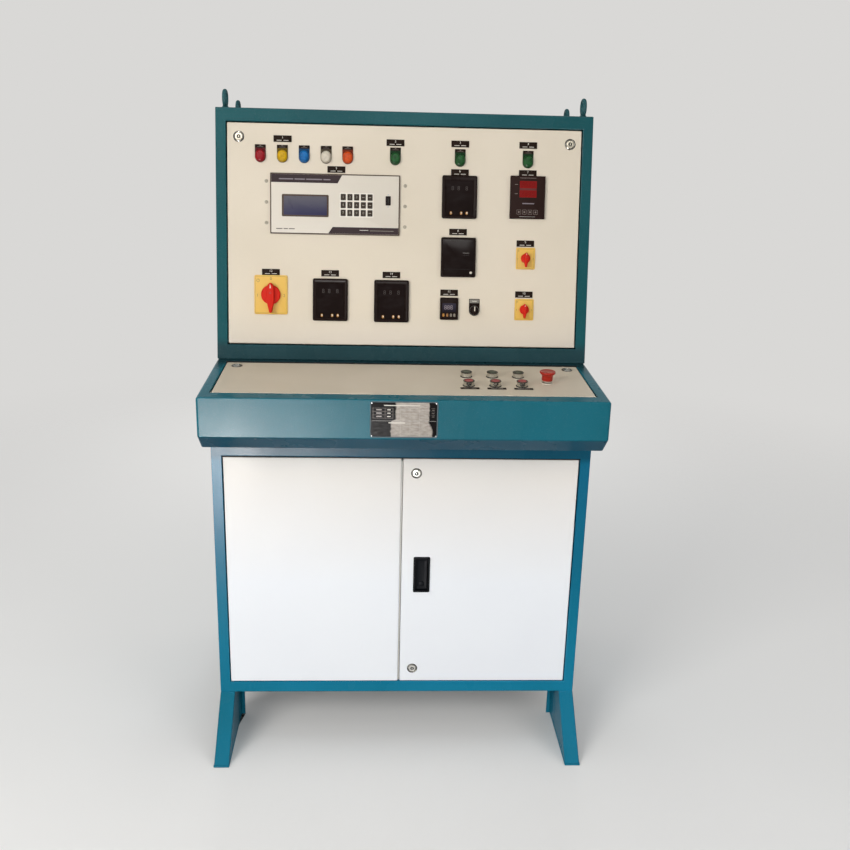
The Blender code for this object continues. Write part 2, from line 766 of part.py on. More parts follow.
def make_left_door():
    """The left-hand cabinet door, plain outside."""
    low = (-LEAF_HALF, 0, DOOR_LOW)
    high = (-CENTRE_GAP / 2, LEAF_DEPTH, DOOR_HIGH)
    body, hollow = tray(low, high, "rear")
    bore = rod_channel("Z", (LEFT_AXIS[0], LEFT_AXIS[1], CABINET_LOW), CABINET_HIGH - CABINET_LOW)
    piece("left_door", LEFT, WHITE, body, cut(hollow), cut(bore), origin=LEFT_AXIS)


def make_right_door():
    """The right-hand cabinet door, with holes for its latches and its pull handle."""
    low = (CENTRE_GAP / 2, 0, DOOR_LOW)
    high = (LEAF_HALF, LEAF_DEPTH, DOOR_HIGH)
    body, hollow = tray(low, high, "rear")
    bore = rod_channel("Z", (RIGHT_AXIS[0], RIGHT_AXIS[1], CABINET_LOW), CABINET_HIGH - CABINET_LOW)
    holes = [
        drum("Y", (LATCH_X, -OVERRUN, level), LATCH_RADIUS + FIT, LEAF_SHEET + 2 * OVERRUN)
        for level, _ in LATCH_LEVELS.values()
    ]
    low_p, high_p = pull_pocket()
    gap = Vector((FIT, 0, FIT))
    window_low = Vector((low_p[0], -OVERRUN, low_p[2])) - gap
    window_high = Vector((high_p[0], LEAF_SHEET + OVERRUN, high_p[2])) + gap
    window = block(tuple(window_low), tuple(window_high))
    piece(
        "right_door", RIGHT, WHITE, body, cut(hollow), cut(bore), cut(*holes, window),
        origin=RIGHT_AXIS,
    )


def latch(name, frame, centre, normal, cam_way):
    """A quarter-turn latch: a round plug through the leaf with a cam behind it."""
    head = Vector(centre) - Vector(normal) * LATCH_HEAD
    cam_start = LEAF_DEPTH + CAM_CLEARANCE
    length = LATCH_HEAD + cam_start + CAM_THICKNESS
    axis = "Y" if normal[1] else "Z"
    tail = Vector(centre) + Vector(normal) * (cam_start + CAM_THICKNESS)
    start = head if sum(normal) > 0 else tail
    plug = drum(axis, tuple(start), LATCH_RADIUS, length)
    near = Vector(centre) + Vector(normal) * cam_start
    side = Vector(normal).cross(Vector(cam_way)) * CAM_WIDTH / 2
    corners = [near - side, tail + side + Vector(cam_way) * CAM_REACH]
    low = tuple(min(a, b) for a, b in zip(*corners))
    high = tuple(max(a, b) for a, b in zip(*corners))
    piece(name, frame, ZINC, plug, join(block(low, high)), origin=centre)


# Pull handle, in the cabinet's coordinates


def pull_centre():
    """The middle of the pull handle on the door's front."""
    level = DOOR_LOW + PULL_LEVEL_SHARE * (DOOR_HIGH - DOOR_LOW)
    return (CENTRE_GAP / 2 + PULL_INSET, 0, level)


def pull_pocket():
    """The low and high corners of the handle's pocket behind the door's sheet."""
    across, _, level = pull_centre()
    half_w = PULL_WIDTH / 2 - PULL_RIM
    half_h = PULL_HEIGHT / 2 - PULL_RIM
    low = (across - half_w, -FIT, level - half_h)
    high = (across + half_w, PULL_POCKET_DEPTH, level + half_h)
    return low, high


def make_pull_handle():
    """A flush pull handle: a flange on the door and an open finger pocket behind it."""
    across, _, level = pull_centre()
    half_w = PULL_WIDTH / 2
    half_h = PULL_HEIGHT / 2
    flange = block(
        (across - half_w, -FIT - PULL_FLANGE, level - half_h),
        (across + half_w, -FIT, level + half_h),
    )
    low, high = pull_pocket()
    pocket = block((low[0], -FIT - PULL_FLANGE / 2, low[2]), high)
    finger = block(
        (low[0] + PULL_WALL, -PULL_FLANGE - OVERRUN, low[2] + PULL_WALL),
        (high[0] - PULL_WALL, high[1] - PULL_WALL, high[2] - PULL_WALL),
    )
    piece(
        "door_pull_handle", RIGHT, BLACK, flange, join(pocket), cut(finger),
        origin=pull_centre(),
    )


# Desk lid with its buttons

LID_LOW = LID_NEAR + LEAF_GAP
LID_HIGH = LID_FAR - LEAF_GAP
LID_LENGTH = LID_HIGH - LID_LOW


def lid_place(across_share, along_share):
    """A point on the lid's top from its shares of the lid's width and length."""
    return (across_share * LEAF_WIDTH, LID_LOW + along_share * LID_LENGTH, 0)


BUTTON_NAMES = ("left", "middle", "right")
LID_LATCHES = {
    "lid_latch_left": (-LEAF_HALF + FACE_LATCH_INSET, (1, 0, 0)),
    "lid_latch_right": (LEAF_HALF - FACE_LATCH_INSET, (-1, 0, 0)),
}
LID_LATCH_Y = LID_HIGH - LID_LATCH_MARGIN


def lid_hole(place, radius):
    """A round hole through the lid's sheet."""
    start = (place[0], place[1], -LEAF_SHEET - OVERRUN)
    return drum("Z", start, radius + FIT, LEAF_SHEET + 2 * OVERRUN)


def button_places():
    """Names and places of the six push buttons, the rear row first."""
    rows = (("rear", BUTTON_REAR_ROW_SHARE), ("front", BUTTON_FRONT_ROW_SHARE))
    return [
        (f"button_{row}_{name}", lid_place(column, share), row)
        for row, share in rows
        for name, column in zip(BUTTON_NAMES, BUTTON_COLUMN_SHARES)
    ]


def make_lid():
    """The desk lid, with its two hinge pins welded into the ends of its front edge."""
    low = (-LEAF_HALF, LID_LOW, -LEAF_DEPTH)
    high = (LEAF_HALF, LID_HIGH, 0)
    body, hollow = tray(low, high, "below")
    holes = [lid_hole(place, BUTTON_RADIUS) for _, place, _ in button_places()]
    holes.append(lid_hole(lid_place(STOP_COLUMN_SHARE, STOP_ROW_SHARE), STOP_STEM_RADIUS))
    holes += [lid_hole((x, LID_LATCH_Y, 0), LATCH_RADIUS) for x, _ in LID_LATCHES.values()]
    pin_length = LEAF_GAP + ROD_SEAT + LEAF_DEPTH
    pins = [
        drum("X", (-OPENING_HALF - ROD_SEAT, LID_AXIS[1], LID_AXIS[2]), ROD_RADIUS,
             pin_length, SMALL_SIDES),
        drum("X", (OPENING_HALF + ROD_SEAT - pin_length, LID_AXIS[1], LID_AXIS[2]), ROD_RADIUS,
             pin_length, SMALL_SIDES),
    ]
    joined_pins = [join(pin) for pin in pins]
    piece("desk_lid", LID, CREAM, body, cut(hollow), *joined_pins, cut(*holes), origin=LID_AXIS)
    for name, (x, way) in LID_LATCHES.items():
        latch(name, LID, (x, LID_LATCH_Y, 0), (0, 0, -1), way)


def make_buttons():
    """Six sprung button caps, each on a stem that runs through the lid."""
    for name, place, row in button_places():
        start = Vector(place) - Vector((0, 0, BUTTON_STEM))
        length = BUTTON_STEM + BUTTON_STAND - BUTTON_DOME
        dome_start = start + Vector((0, 0, length - BUTTON_DOME / 2))
        look = RED if row == "front" else CAP_GREEN
        dome = drum(
            "Z", dome_start, BUTTON_RADIUS - BUTTON_DOME / 2, BUTTON_DOME + BUTTON_DOME / 2,
            ROUND_SIDES, BUTTON_RADIUS - BUTTON_DOME,
        )
        stem = drum("Z", start, BUTTON_RADIUS, length)
        piece(name, LID, look, stem, join(dome), origin=place)


def make_emergency_stop():
    """The emergency stop's mushroom head, skirt and stem, which travel as one."""
    place = Vector(lid_place(STOP_COLUMN_SHARE, STOP_ROW_SHARE))
    stem_start = place - Vector((0, 0, STOP_STEM))
    skirt_start = place + Vector((0, 0, STOP_LIFT))
    head_start = skirt_start + Vector((0, 0, STOP_SKIRT_HEIGHT))
    stem = drum("Z", stem_start, STOP_STEM_RADIUS, STOP_STEM + STOP_LIFT + STOP_SKIRT_HEIGHT / 2)
    skirt = drum("Z", skirt_start, STOP_SKIRT_RADIUS, STOP_SKIRT_HEIGHT + STOP_HEAD_HEIGHT / 2)
    head = drum(
        "Z", head_start, STOP_HEAD_RADIUS, STOP_HEAD_HEIGHT, ROUND_SIDES, STOP_SKIRT_RADIUS
    )
    piece("emergency_stop", LID, RED, stem, join(skirt), join(head), origin=tuple(place))


# Instrument door with its instruments

PANEL_LOW = FACE_LOW + LEAF_GAP
PANEL_HIGH = FACE_HIGH - LEAF_GAP
PANEL_HEIGHT = PANEL_HIGH - PANEL_LOW


def panel_place(shares):
    """A point on the instrument door's front from its shares of width and height."""
    across, up = shares
    return (across * LEAF_WIDTH, 0, PANEL_LOW + up * PANEL_HEIGHT)


FACE_LATCHES = {
    "instrument_latch_left": (-LEAF_HALF + FACE_LATCH_INSET, (1, 0, 0)),
    "instrument_latch_right": (LEAF_HALF - FACE_LATCH_INSET, (-1, 0, 0)),
}
FACE_LATCH_Z = PANEL_HIGH - FACE_LATCH_MARGIN
METER_SIZE = (METER_WIDTH, METER_HEIGHT)
INSTRUMENTS = {
    name: (shares, METER_SIZE, METER_CASE_DEPTH, BEZEL_DEPTH, BLACK)
    for name, shares in METER_PLACE_SHARES.items()
}
INSTRUMENTS["meter_middle"] = (
    METER_MIDDLE_PLACE_SHARE, (METER_WIDTH, METER_MIDDLE_HEIGHT), METER_CASE_DEPTH, BEZEL_DEPTH,
    BLACK,
)
INSTRUMENTS["timer_relay"] = (
    TIMER_PLACE_SHARE, (TIMER_WIDTH, TIMER_HEIGHT), TIMER_CASE_DEPTH, BEZEL_DEPTH, BLACK,
)
INSTRUMENTS["ratio_analyser"] = (
    ANALYSER_PLACE_SHARE, (ANALYSER_WIDTH, ANALYSER_HEIGHT), ANALYSER_CASE_DEPTH,
    ANALYSER_BEZEL_DEPTH, GREY,
)
SWITCHES = {
    "main_switch": (
        MAIN_PLACE_SHARE, (MAIN_PLATE_WIDTH, MAIN_PLATE_HEIGHT), MAIN_CASE_SIZE, MAIN_KNOB_RADIUS
    ),
    "upper_switch": (
        UPPER_PLACE_SHARE, (SMALL_PLATE_WIDTH, SMALL_PLATE_HEIGHT), SMALL_CASE_SIZE,
        SMALL_KNOB_RADIUS,
    ),
    "lower_switch": (
        LOWER_PLACE_SHARE, (SMALL_PLATE_WIDTH, SMALL_PLATE_HEIGHT), SMALL_CASE_SIZE,
        SMALL_KNOB_RADIUS,
    ),
}


def upright(centre, width, height, near, far):
    """A block on the instrument door, given by its width, height and depths."""
    return block(
        (centre[0] - width / 2, near, centre[2] - height / 2),
        (centre[0] + width / 2, far, centre[2] + height / 2),
    )


def panel_hole(centre, radius):
    """A round hole through the instrument door's sheet."""
    start = (centre[0], -OVERRUN, centre[2])
    return drum("Y", start, radius + FIT, LEAF_SHEET + 2 * OVERRUN)


def make_instrument_door():
    """The instrument door with a cut-out for every instrument, lamp and switch."""
    low = (-LEAF_HALF, 0, PANEL_LOW)
    high = (LEAF_HALF, LEAF_DEPTH, PANEL_HIGH)
    body, hollow = tray(low, high, "rear")
    bore = rod_channel("X", (-OPENING_HALF, FACE_AXIS[1], FACE_AXIS[2]), 2 * OPENING_HALF)
    far = LEAF_SHEET + OVERRUN
    holes = []
    for shares, (width, height), _, _, _ in INSTRUMENTS.values():
        case_w = width - 2 * CASE_STEP + 2 * FIT
        case_h = height - 2 * CASE_STEP + 2 * FIT
        holes.append(upright(panel_place(shares), case_w, case_h, -OVERRUN, far))
    for shares, _, case, _ in SWITCHES.values():
        side = case + 2 * FIT
        holes.append(upright(panel_place(shares), side, side, -OVERRUN, far))
    for column in LAMP_COLUMN_SHARES.values():
        holes.append(panel_hole(panel_place((column, LAMP_ROW_SHARE)), LAMP_BARREL_RADIUS))
    holes.append(panel_hole(panel_place(SELECTOR_PLACE_SHARE), SELECTOR_RADIUS))
    holes += [panel_hole((x, 0, FACE_LATCH_Z), LATCH_RADIUS) for x, _ in FACE_LATCHES.values()]
    piece(
        "instrument_door", DOOR, CREAM, body, cut(hollow), cut(bore), cut(*holes),
        origin=FACE_AXIS,
    )
    for name, (x, way) in FACE_LATCHES.items():
        latch(name, DOOR, (x, 0, FACE_LATCH_Z), (0, 1, 0), way)


def make_instrument(name, shares, size, case_depth, bezel_depth, look):
    """A panel instrument: a bezel on the door, with a shallow window, and its case."""
    centre = panel_place(shares)
    width, height = size
    bezel = upright(centre, width, height, -FIT - bezel_depth, -FIT)
    case = upright(
        centre, width - 2 * CASE_STEP, height - 2 * CASE_STEP, -FIT - bezel_depth / 2, case_depth
    )
    window = upright(
        centre, width - 2 * BEZEL_RIM, height - 2 * BEZEL_RIM,
        -bezel_depth - OVERRUN, -FIT - bezel_depth + BEZEL_RECESS,
    )
    piece(name, DOOR, look, bezel, join(case), cut(window), origin=centre)


def make_lamp(name, column):
    """A signal lamp: a holder plate with a label field, a lens and a barrel."""
    centre = Vector(panel_place((column, LAMP_ROW_SHARE)))
    half = LAMP_PLATE_WIDTH / 2
    near = -FIT - LAMP_PLATE_DEPTH
    label = block(
        (centre.x - half, near, centre.z),
        (centre.x + half, -FIT, centre.z + LAMP_PLATE_HEIGHT - half),
    )
    disc = drum("Y", (centre.x, near, centre.z), half, LAMP_PLATE_DEPTH)
    lens_start = (centre.x, near - LAMP_LENS_HEIGHT, centre.z)
    lens = drum(
        "Y", lens_start, LAMP_LENS_TIP_RADIUS, LAMP_LENS_HEIGHT + LAMP_PLATE_DEPTH / 2,
        ROUND_SIDES, LAMP_LENS_RADIUS,
    )
    barrel_start = (centre.x, near / 2, centre.z)
    barrel = drum("Y", barrel_start, LAMP_BARREL_RADIUS, LAMP_BARREL_LENGTH - near / 2)
    piece(
        name, DOOR, LAMP_COLOURS[name], label, join(disc), join(lens), join(barrel),
        origin=tuple(centre),
    )


def make_switch(name, shares, plate, case, knob_radius):
    """A rotary switch: its plate and case as one piece, and its knob as another."""
    centre = Vector(panel_place(shares))
    face = -FIT - SWITCH_PLATE_DEPTH
    shaft_radius = KNOB_SHAFT_RADIUS_SHARE * knob_radius
    front = upright(centre, plate[0], plate[1], face, -FIT)
    block_behind = upright(centre, case, case, face / 2, SWITCH_CASE_DEPTH)
    bore_start = (centre.x, face - OVERRUN, centre.z)
    bore = drum("Y", bore_start, shaft_radius + FIT, OVERRUN + KNOB_SHAFT_LENGTH + 2 * FIT)
    piece(name, DOOR, YELLOW, front, join(block_behind), cut(bore), origin=tuple(centre))
    make_knob(f"{name}_knob", centre, face - FIT, knob_radius, shaft_radius, RED)


def knob_grip(centre, radius, shares, near, far):
    """A ridge to grip, whose half outline follows shares of the knob's radius."""
    half = [(across * radius, up * radius) for across, up in shares]
    around = half + [(-across, up) for across, up in reversed(half)]
    return front_profile([(centre.x + x, centre.z + z) for x, z in around], near, far)


def make_knob(name, centre, base, radius, shaft_radius, look):
    """A rotary knob: a round base, a ridge with a long tail and a shaft."""
    disc = drum("Y", (centre.x, base - KNOB_BASE_HEIGHT, centre.z), radius, KNOB_BASE_HEIGHT)
    grip = knob_grip(
        centre, radius, KNOB_GRIP_SHARES, base - KNOB_GRIP_HEIGHT, base - KNOB_BASE_HEIGHT / 2
    )
    shaft_start = (centre.x, base - KNOB_BASE_HEIGHT / 2, centre.z)
    shaft = drum(
        "Y", shaft_start, shaft_radius, KNOB_BASE_HEIGHT / 2 + KNOB_SHAFT_LENGTH, SMALL_SIDES
    )
    piece(name, DOOR, look, disc, join(grip), join(shaft), origin=tuple(centre))


def make_selector():
    """The small black selector: a knob whose barrel runs through the door."""
    centre = Vector(panel_place(SELECTOR_PLACE_SHARE))
    start = (centre.x, -KNOB_BASE_HEIGHT, centre.z)
    barrel = drum("Y", start, SELECTOR_RADIUS, KNOB_BASE_HEIGHT + SELECTOR_STEM)
    grip = knob_grip(
        centre, SELECTOR_RADIUS, SELECTOR_GRIP_SHARES, -KNOB_GRIP_HEIGHT, -KNOB_BASE_HEIGHT / 2
    )
    piece("selector_knob", DOOR, BLACK, barrel, join(grip), origin=tuple(centre))


# Equipment inside the cabinet

PLATE_FRONT = CABINET_DEPTH - PLATE_SETBACK
PLATE_LOW = FOOT_HEIGHT + PLATE_BOTTOM_MARGIN
PLATE_HIGH = CABINET_TOP - PLATE_TOP_MARGIN


def make_mounting_plate():
    """The mounting plate across the cabinet, seated between the side walls."""
    half = HALF_WIDTH - SHEET - FIT
    plate = block((-half, PLATE_FRONT, PLATE_LOW), (half, PLATE_FRONT + PLATE_SHEET, PLATE_HIGH))
    piece("mounting_plate", STAND, ZINC, plate)


def device(name, size, cap, column_share, look):
    """A device on the mounting plate: a case with a smaller raised front."""
    across = column_share * BODY_WIDTH
    level = PLATE_LOW + DEVICE_ROW_SHARE * (PLATE_HIGH - PLATE_LOW)
    rear = PLATE_FRONT - FIT
    case = block(
        (across - size[0] / 2, rear - size[1], level - size[2] / 2),
        (across + size[0] / 2, rear, level + size[2] / 2),
    )
    front = rear - size[1]
    raised = block(
        (across - cap[0] / 2, front - cap[1], level - cap[2] / 2),
        (across + cap[0] / 2, front + cap[1] / 2, level + cap[2] / 2),
    )
    piece(name, STAND, look, case, join(raised))


def make_terminal_strip():
    """The terminal strip, with open slots between its terminals."""
    width, depth, height = TERMINAL_SIZE
    level = PLATE_LOW + TERMINAL_ROW_SHARE * (PLATE_HIGH - PLATE_LOW)
    rear = PLATE_FRONT - FIT
    strip = block(
        (-width / 2, rear - depth, level - height / 2), (width / 2, rear, level + height / 2)
    )
    pitch = width / TERMINAL_COUNT
    slots = []
    for number in range(TERMINAL_COUNT):
        across = -width / 2 + (number + 1 / 2) * pitch
        slots.append(block(
            (across - TERMINAL_SLOT / 2, rear - depth - OVERRUN, level - height / 2 - OVERRUN),
            (across + TERMINAL_SLOT / 2, rear - depth / 2, level + height / 2 + OVERRUN),
        ))
    piece("terminal_strip", STAND, GREY, strip, cut(*slots))


# Assembly

make_cabinet()
rear_cover("cabinet_rear_cover", FOOT_HEIGHT + REAR_FLANGE, CABINET_TOP - REAR_FLANGE)
make_desk()
make_console()
make_eyebolts()
for foot_end, at_rear in (("front", False), ("rear", True)):
    for foot_side, sign in (("left", -1), ("right", 1)):
        make_foot(f"foot_{foot_end}_{foot_side}", sign, at_rear)

make_mounting_plate()
device("main_breaker", BREAKER_SIZE, BREAKER_TOGGLE, BREAKER_COLUMN_SHARE, BLACK)
device("contactor", CONTACTOR_SIZE, CONTACTOR_CAP, CONTACTOR_COLUMN_SHARE, GREY)
make_terminal_strip()

ROD_LENGTH = CABINET_HIGH - CABINET_LOW + 2 * ROD_SEAT
for rod_name, rod_axis in (("left_hinge_rod", LEFT_AXIS), ("right_hinge_rod", RIGHT_AXIS)):
    rod_start = (rod_axis[0], rod_axis[1], CABINET_LOW - ROD_SEAT)
    hinge_rod(rod_name, STAND, "Z", rod_start, ROD_LENGTH)
FACE_ROD_START = (-OPENING_HALF - ROD_SEAT, FACE_AXIS[1], FACE_AXIS[2])
hinge_rod("instrument_hinge_rod", FACE, "X", FACE_ROD_START, 2 * (OPENING_HALF + ROD_SEAT))

make_left_door()
make_right_door()
make_pull_handle()
for latch_name, (latch_z, latch_way) in LATCH_LEVELS.items():
    latch(latch_name, RIGHT, (LATCH_X, 0, latch_z), (0, 1, 0), (0, 0, latch_way))

make_lid()
make_buttons()
make_emergency_stop()

make_instrument_door()
for instrument, values in INSTRUMENTS.items():
    make_instrument(instrument, *values)
for lamp, column_share in LAMP_COLUMN_SHARES.items():
    make_lamp(lamp, column_share)
for switch, values in SWITCHES.items():
    make_switch(switch, *values)
make_selector()
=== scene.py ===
import math

import bmesh
import bpy
import numpy as np
from mathutils import Matrix, Vector


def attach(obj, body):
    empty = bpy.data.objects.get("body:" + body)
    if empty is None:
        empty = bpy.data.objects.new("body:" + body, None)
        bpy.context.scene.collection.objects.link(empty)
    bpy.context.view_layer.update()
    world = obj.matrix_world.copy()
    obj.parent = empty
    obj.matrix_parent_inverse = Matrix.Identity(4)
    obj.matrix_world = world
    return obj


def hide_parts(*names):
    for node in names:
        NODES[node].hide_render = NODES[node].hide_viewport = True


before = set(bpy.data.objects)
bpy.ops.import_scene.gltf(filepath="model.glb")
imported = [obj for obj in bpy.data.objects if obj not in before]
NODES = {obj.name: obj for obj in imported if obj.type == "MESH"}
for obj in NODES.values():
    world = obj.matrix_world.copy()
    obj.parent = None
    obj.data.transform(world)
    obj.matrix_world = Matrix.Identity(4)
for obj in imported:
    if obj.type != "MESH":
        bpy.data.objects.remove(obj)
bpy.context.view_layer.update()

# The looks of a transformer testing panel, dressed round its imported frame. Faces, boxes and
# shells are in millimetres. Meshes, materials, the camera and the lamps are in metres.

MM = 0.001
STAND = "stand"
LEFT = "left_door"
RIGHT = "right_door"
LID = "desk_lid"
DOOR = "instrument_door"
CORNERS = ("front_left", "front_right", "rear_left", "rear_right")


# Faces that the pieces are set on


def face(origin, across, up):
    """A flat face: its origin, then its directions across, up and straight out."""
    return np.array(origin, float), np.array([across, up, np.cross(across, up)], float)


def leaning(origin, angle):
    """A face across X whose up direction leans back from the vertical by an angle."""
    return face(origin, (1, 0, 0), (0, math.sin(angle), math.cos(angle)))


FRONT = leaning((0, -272.5, 0), 0)
FASCIA = leaning((0, -442.5, 0), 0)
CONSOLE = leaning((0, -119.5, 1008.5), math.radians(10))
DESK = leaning((0, -442.5, 996), math.pi / 2 - math.atan2(12.5, 323))
ROOF = leaning((0, -10.796, 1624.99), math.pi / 2 + math.atan2(30, 308.296))
CHAMFER = leaning((0, -442.5, 901.5), -math.atan2(45, 39.5))
REAR = face((0, 297.5, 0), (-1, 0, 0), (0, 0, 1))
FLOOR = face((0, 0, 0), (1, 0, 0), (0, 1, 0))
INNER_PLATE = leaning((0, 217.5, 0), 0)


class Box:
    """The box round a CAD node at rest: left to right, foot to head and back to top, along
    a face's directions across, up and out."""

    def __init__(self, node, on):
        self.node, self.on = node, on
        mesh = NODES[node].data
        points = np.empty(len(mesh.vertices) * 3, np.float32)
        mesh.vertices.foreach_get("co", points)
        local = (points.reshape(-1, 3).astype(float) / MM - on[0]) @ on[1].T
        self.left, self.foot, self.back = local.min(axis=0)
        self.right, self.head, self.top = local.max(axis=0)
        self.width = self.right - self.left
        self.height = self.head - self.foot
        self.size = (self.width, self.height, self.top)
        self.middle = ((self.left + self.right) / 2, (self.foot + self.head) / 2)

    def dress(self, name, body, slot, parts):
        """Set parts round the box's middle, as one piece in place of its node."""
        piece(name, body, slot, set_on(self.on, parts, *self.middle), [self.node])

    def detail(self, parts, slot="black_plastic"):
        """Dress a node that is on the instrument door."""
        self.dress(f"{self.node}_detail", DOOR, slot, parts)


# Outlines: each one is a function that gives its points when it is moved in by an inset

SMALLEST_RADIUS = 0.1


def rounded(width, height, radius, steps=5):
    """A rectangle with a quarter circle at each corner, upper right first, anticlockwise.

    Each corner's points are centre + radius (cos t, sin t). An inset comes off the half
    width, the half height and the radii.
    """
    radii = np.broadcast_to(np.asarray(radius, float), 4)
    signs = np.array([(1, 1), (-1, 1), (-1, -1), (1, -1)])
    turn = np.linspace(0, math.pi / 2, steps) + np.arange(4)[:, None] * math.pi / 2
    arc = np.stack([np.cos(turn), np.sin(turn)], axis=-1)

    def outline(inset):
        corner = np.maximum(radii - inset, SMALLEST_RADIUS)[:, None]
        centres = signs * (np.array([width, height]) / 2 - inset - corner)
        return (centres[:, None, :] + corner[:, :, None] * arc).reshape(-1, 2)

    return outline


def disc(sides=32):
    """A circle whose inset stands for its radius: radius (cos t, sin t)."""
    turn = np.arange(sides) * 2 * math.pi / sides
    circle = np.stack([np.cos(turn), np.sin(turn)], axis=-1)
    return lambda radius: radius * circle


def polygon(points):
    """An anticlockwise polygon. Each corner moves in along the line that halves its angle,
    by inset (m + n) / (1 + m.n), where m and n are the inward normals of its two sides."""
    corners = np.array(points, float)
    side = np.roll(corners, -1, axis=0) - corners
    side /= np.linalg.norm(side, axis=1)[:, None]
    inward = np.stack([-side[:, 1], side[:, 0]], axis=-1)
    before = np.roll(inward, 1, axis=0)
    mitre = (before + inward) / (1 + (before * inward).sum(axis=1))[:, None]
    return lambda inset: corners + inset * mitre


def softened(points, rounds=2):
    """A polygon with its corners cut round: each side keeps its points at a quarter and at
    three quarters, and this is done again on the result."""
    corners = np.array(points, float)
    for _ in range(rounds):
        ahead = np.roll(corners, -1, axis=0)
        pairs = np.stack([0.75 * corners + 0.25 * ahead, 0.25 * corners + 0.75 * ahead], axis=1)
        corners = pairs.reshape(-1, 2)
    return corners


def hexagon(across_flats):
    """A hexagon for a nut or a bolt head, as six corners on a circle."""
    return polygon(disc(6)(across_flats / math.sqrt(3)))


# Shells: points, the corners of every face in one row, and how many corners each face has


def skin(rings, hollow=False):
    """Four-sided faces between rings of points. A hollow skin joins its last ring to its
    first, and a solid one closes both ends."""
    count, sides = rings.shape[:2]
    points = rings.reshape(-1, 3)
    ring = np.arange(count if hollow else count - 1)[:, None] * sides
    over = (ring + sides) % (count * sides)
    here = np.arange(sides)[None, :]
    ahead = (here + 1) % sides
    quads = np.stack([ring + here, ring + ahead, over + ahead, over + here], axis=-1).reshape(-1)
    sizes = np.full(len(quads) // 4, 4)
    if hollow:
        return points, quads, sizes
    ends = np.concatenate([here[0, ::-1], here[0] + (count - 1) * sides])
    return points, np.concatenate([quads, ends]), np.concatenate([sizes, [sides] * 2])


def stack(outline, profile, hollow=False):
    """An outline carried up a profile: point (i, j) is outline point i moved in by the
    profile's inset j, at its level j, and moved up the face by its shift j, if it has one."""
    rows = np.array([(*row, 0)[:3] for row in profile], float)
    flat = np.array([outline(inset) for inset in rows[:, 0]])
    levels = np.broadcast_to(rows[:, 1, None, None], (*flat.shape[:2], 1))
    rings = np.concatenate([flat, levels], axis=2)
    rings[:, :, 1] += rows[:, 2, None]
    return skin(rings, hollow)


def lathe(profile, sides=32, hollow=False):
    """A turned shape: (radius, level) points spun round the face's out direction."""
    return stack(disc(sides), profile, hollow)


def turned_ring(profile, sides=40):
    """A turned ring: a closed (radius, level) profile spun round the out direction."""
    return lathe(profile, sides, hollow=True)


def tube(outer, inner, low, high, sides=32):
    """A straight round tube between two levels."""
    return turned_ring([(outer, low), (outer, high), (inner, high), (inner, low)], sides)


def slab(low, high, soft=0, steps=3):
    """A profile with straight sides and a quarter-round upper edge, from low to high."""
    if not soft:
        return [(0, low), (0, high)]
    turn = np.linspace(0, math.pi / 2, steps + 1)
    rim = np.stack([soft * (1 - np.cos(turn)), high - soft * (1 - np.sin(turn))], axis=-1)
    return [(0, low), *map(tuple, rim)]


def plate(width, height, radius, low, high, soft=0):
    """A flat plate with round corners, between two levels."""
    return stack(rounded(width, height, radius), slab(low, high, soft))


def border(width, height, radius, thick, low, high):
    """A flat frame: a plate with a window that leaves a border of one thickness."""
    rows = [(0, low), (0, high), (thick, high), (thick, low)]
    return stack(rounded(width, height, radius), rows, hollow=True)


def nut(across_flats, *profile):
    """A hexagonal nut or bolt head: its outline carried up rows of (inset, level)."""
    return stack(hexagon(across_flats), profile)


def hoop(radius, wire, level, sides=48, wire_sides=16):
    """A wire bent into a circle that stands across the face, so that it looks sideways.

    Point (s, t) is (r sin t, (R + r cos t) cos s, level + (R + r cos t) sin s).
    """
    s = np.arange(sides)[:, None] * 2 * math.pi / sides
    t = np.arange(wire_sides)[None, :] * 2 * math.pi / wire_sides
    reach = radius + wire * np.cos(t)
    rings = np.stack(
        [wire * np.sin(t) + 0 * s, reach * np.cos(s), level + reach * np.sin(s)], axis=-1
    )
    points, quads, sizes = skin(rings, hollow=True)
    return points, np.roll(quads.reshape(-1, 4)[:, ::-1], 1, axis=1).reshape(-1), sizes


def bead(length, radius, pitch=3.5, sides=12):
    """A weld bead along the across direction, half sunk in the face.

    Point (s, t) is (s, r cos t, r sin t). Its radius r ripples by an eighth over each
    pitch and falls away to nearly nothing at both ends.
    """
    steps = max(24, round(length / pitch * 6))
    share = np.linspace(-1, 1, steps + 1)[:, None]
    ripple = 1 + np.sin(share * math.pi * length / pitch) / 8
    thick = radius * ripple * np.sqrt(np.maximum(1 - share ** 8, 0.02))
    t = np.arange(sides)[None, :] * 2 * math.pi / sides
    along = share * length / 2 + 0 * t
    return skin(np.stack([along, thick * np.cos(t), thick * np.sin(t)], axis=-1))


def cross_head(radius, rise, slot=0.5, reach=1.8, sunk=0.7, sides=32):
    """A screw head: a dome with a cross sunk into it.

    The level at (x, y) is rise (1 - (r / R)^2 / 2), less the depth of the cross wherever
    the smaller of |x| and |y| is under its half width and r is under its reach.
    """
    shares = (0.92, 0.8, 0.66, 0.54, 0.42, 0.3, 0.18, 0.03)
    dome = [(share * radius, rise * (1 - share ** 2 / 2)) for share in shares]
    points, corners, sizes = lathe([(radius, 0), (radius, rise / 2), *dome], sides)
    near = np.minimum(abs(points[:, 0]), abs(points[:, 1])) < slot
    inside = (np.hypot(points[:, 0], points[:, 1]) < reach) & (points[:, 2] > rise / 2)
    points[:, 2] -= sunk * (near & inside)
    return points, corners, sizes


def upended(shell):
    """A shell turned over round the across direction."""
    points, corners, sizes = shell
    return points * (1, -1, -1), corners, sizes


FIGURE_SHARE = 0.69


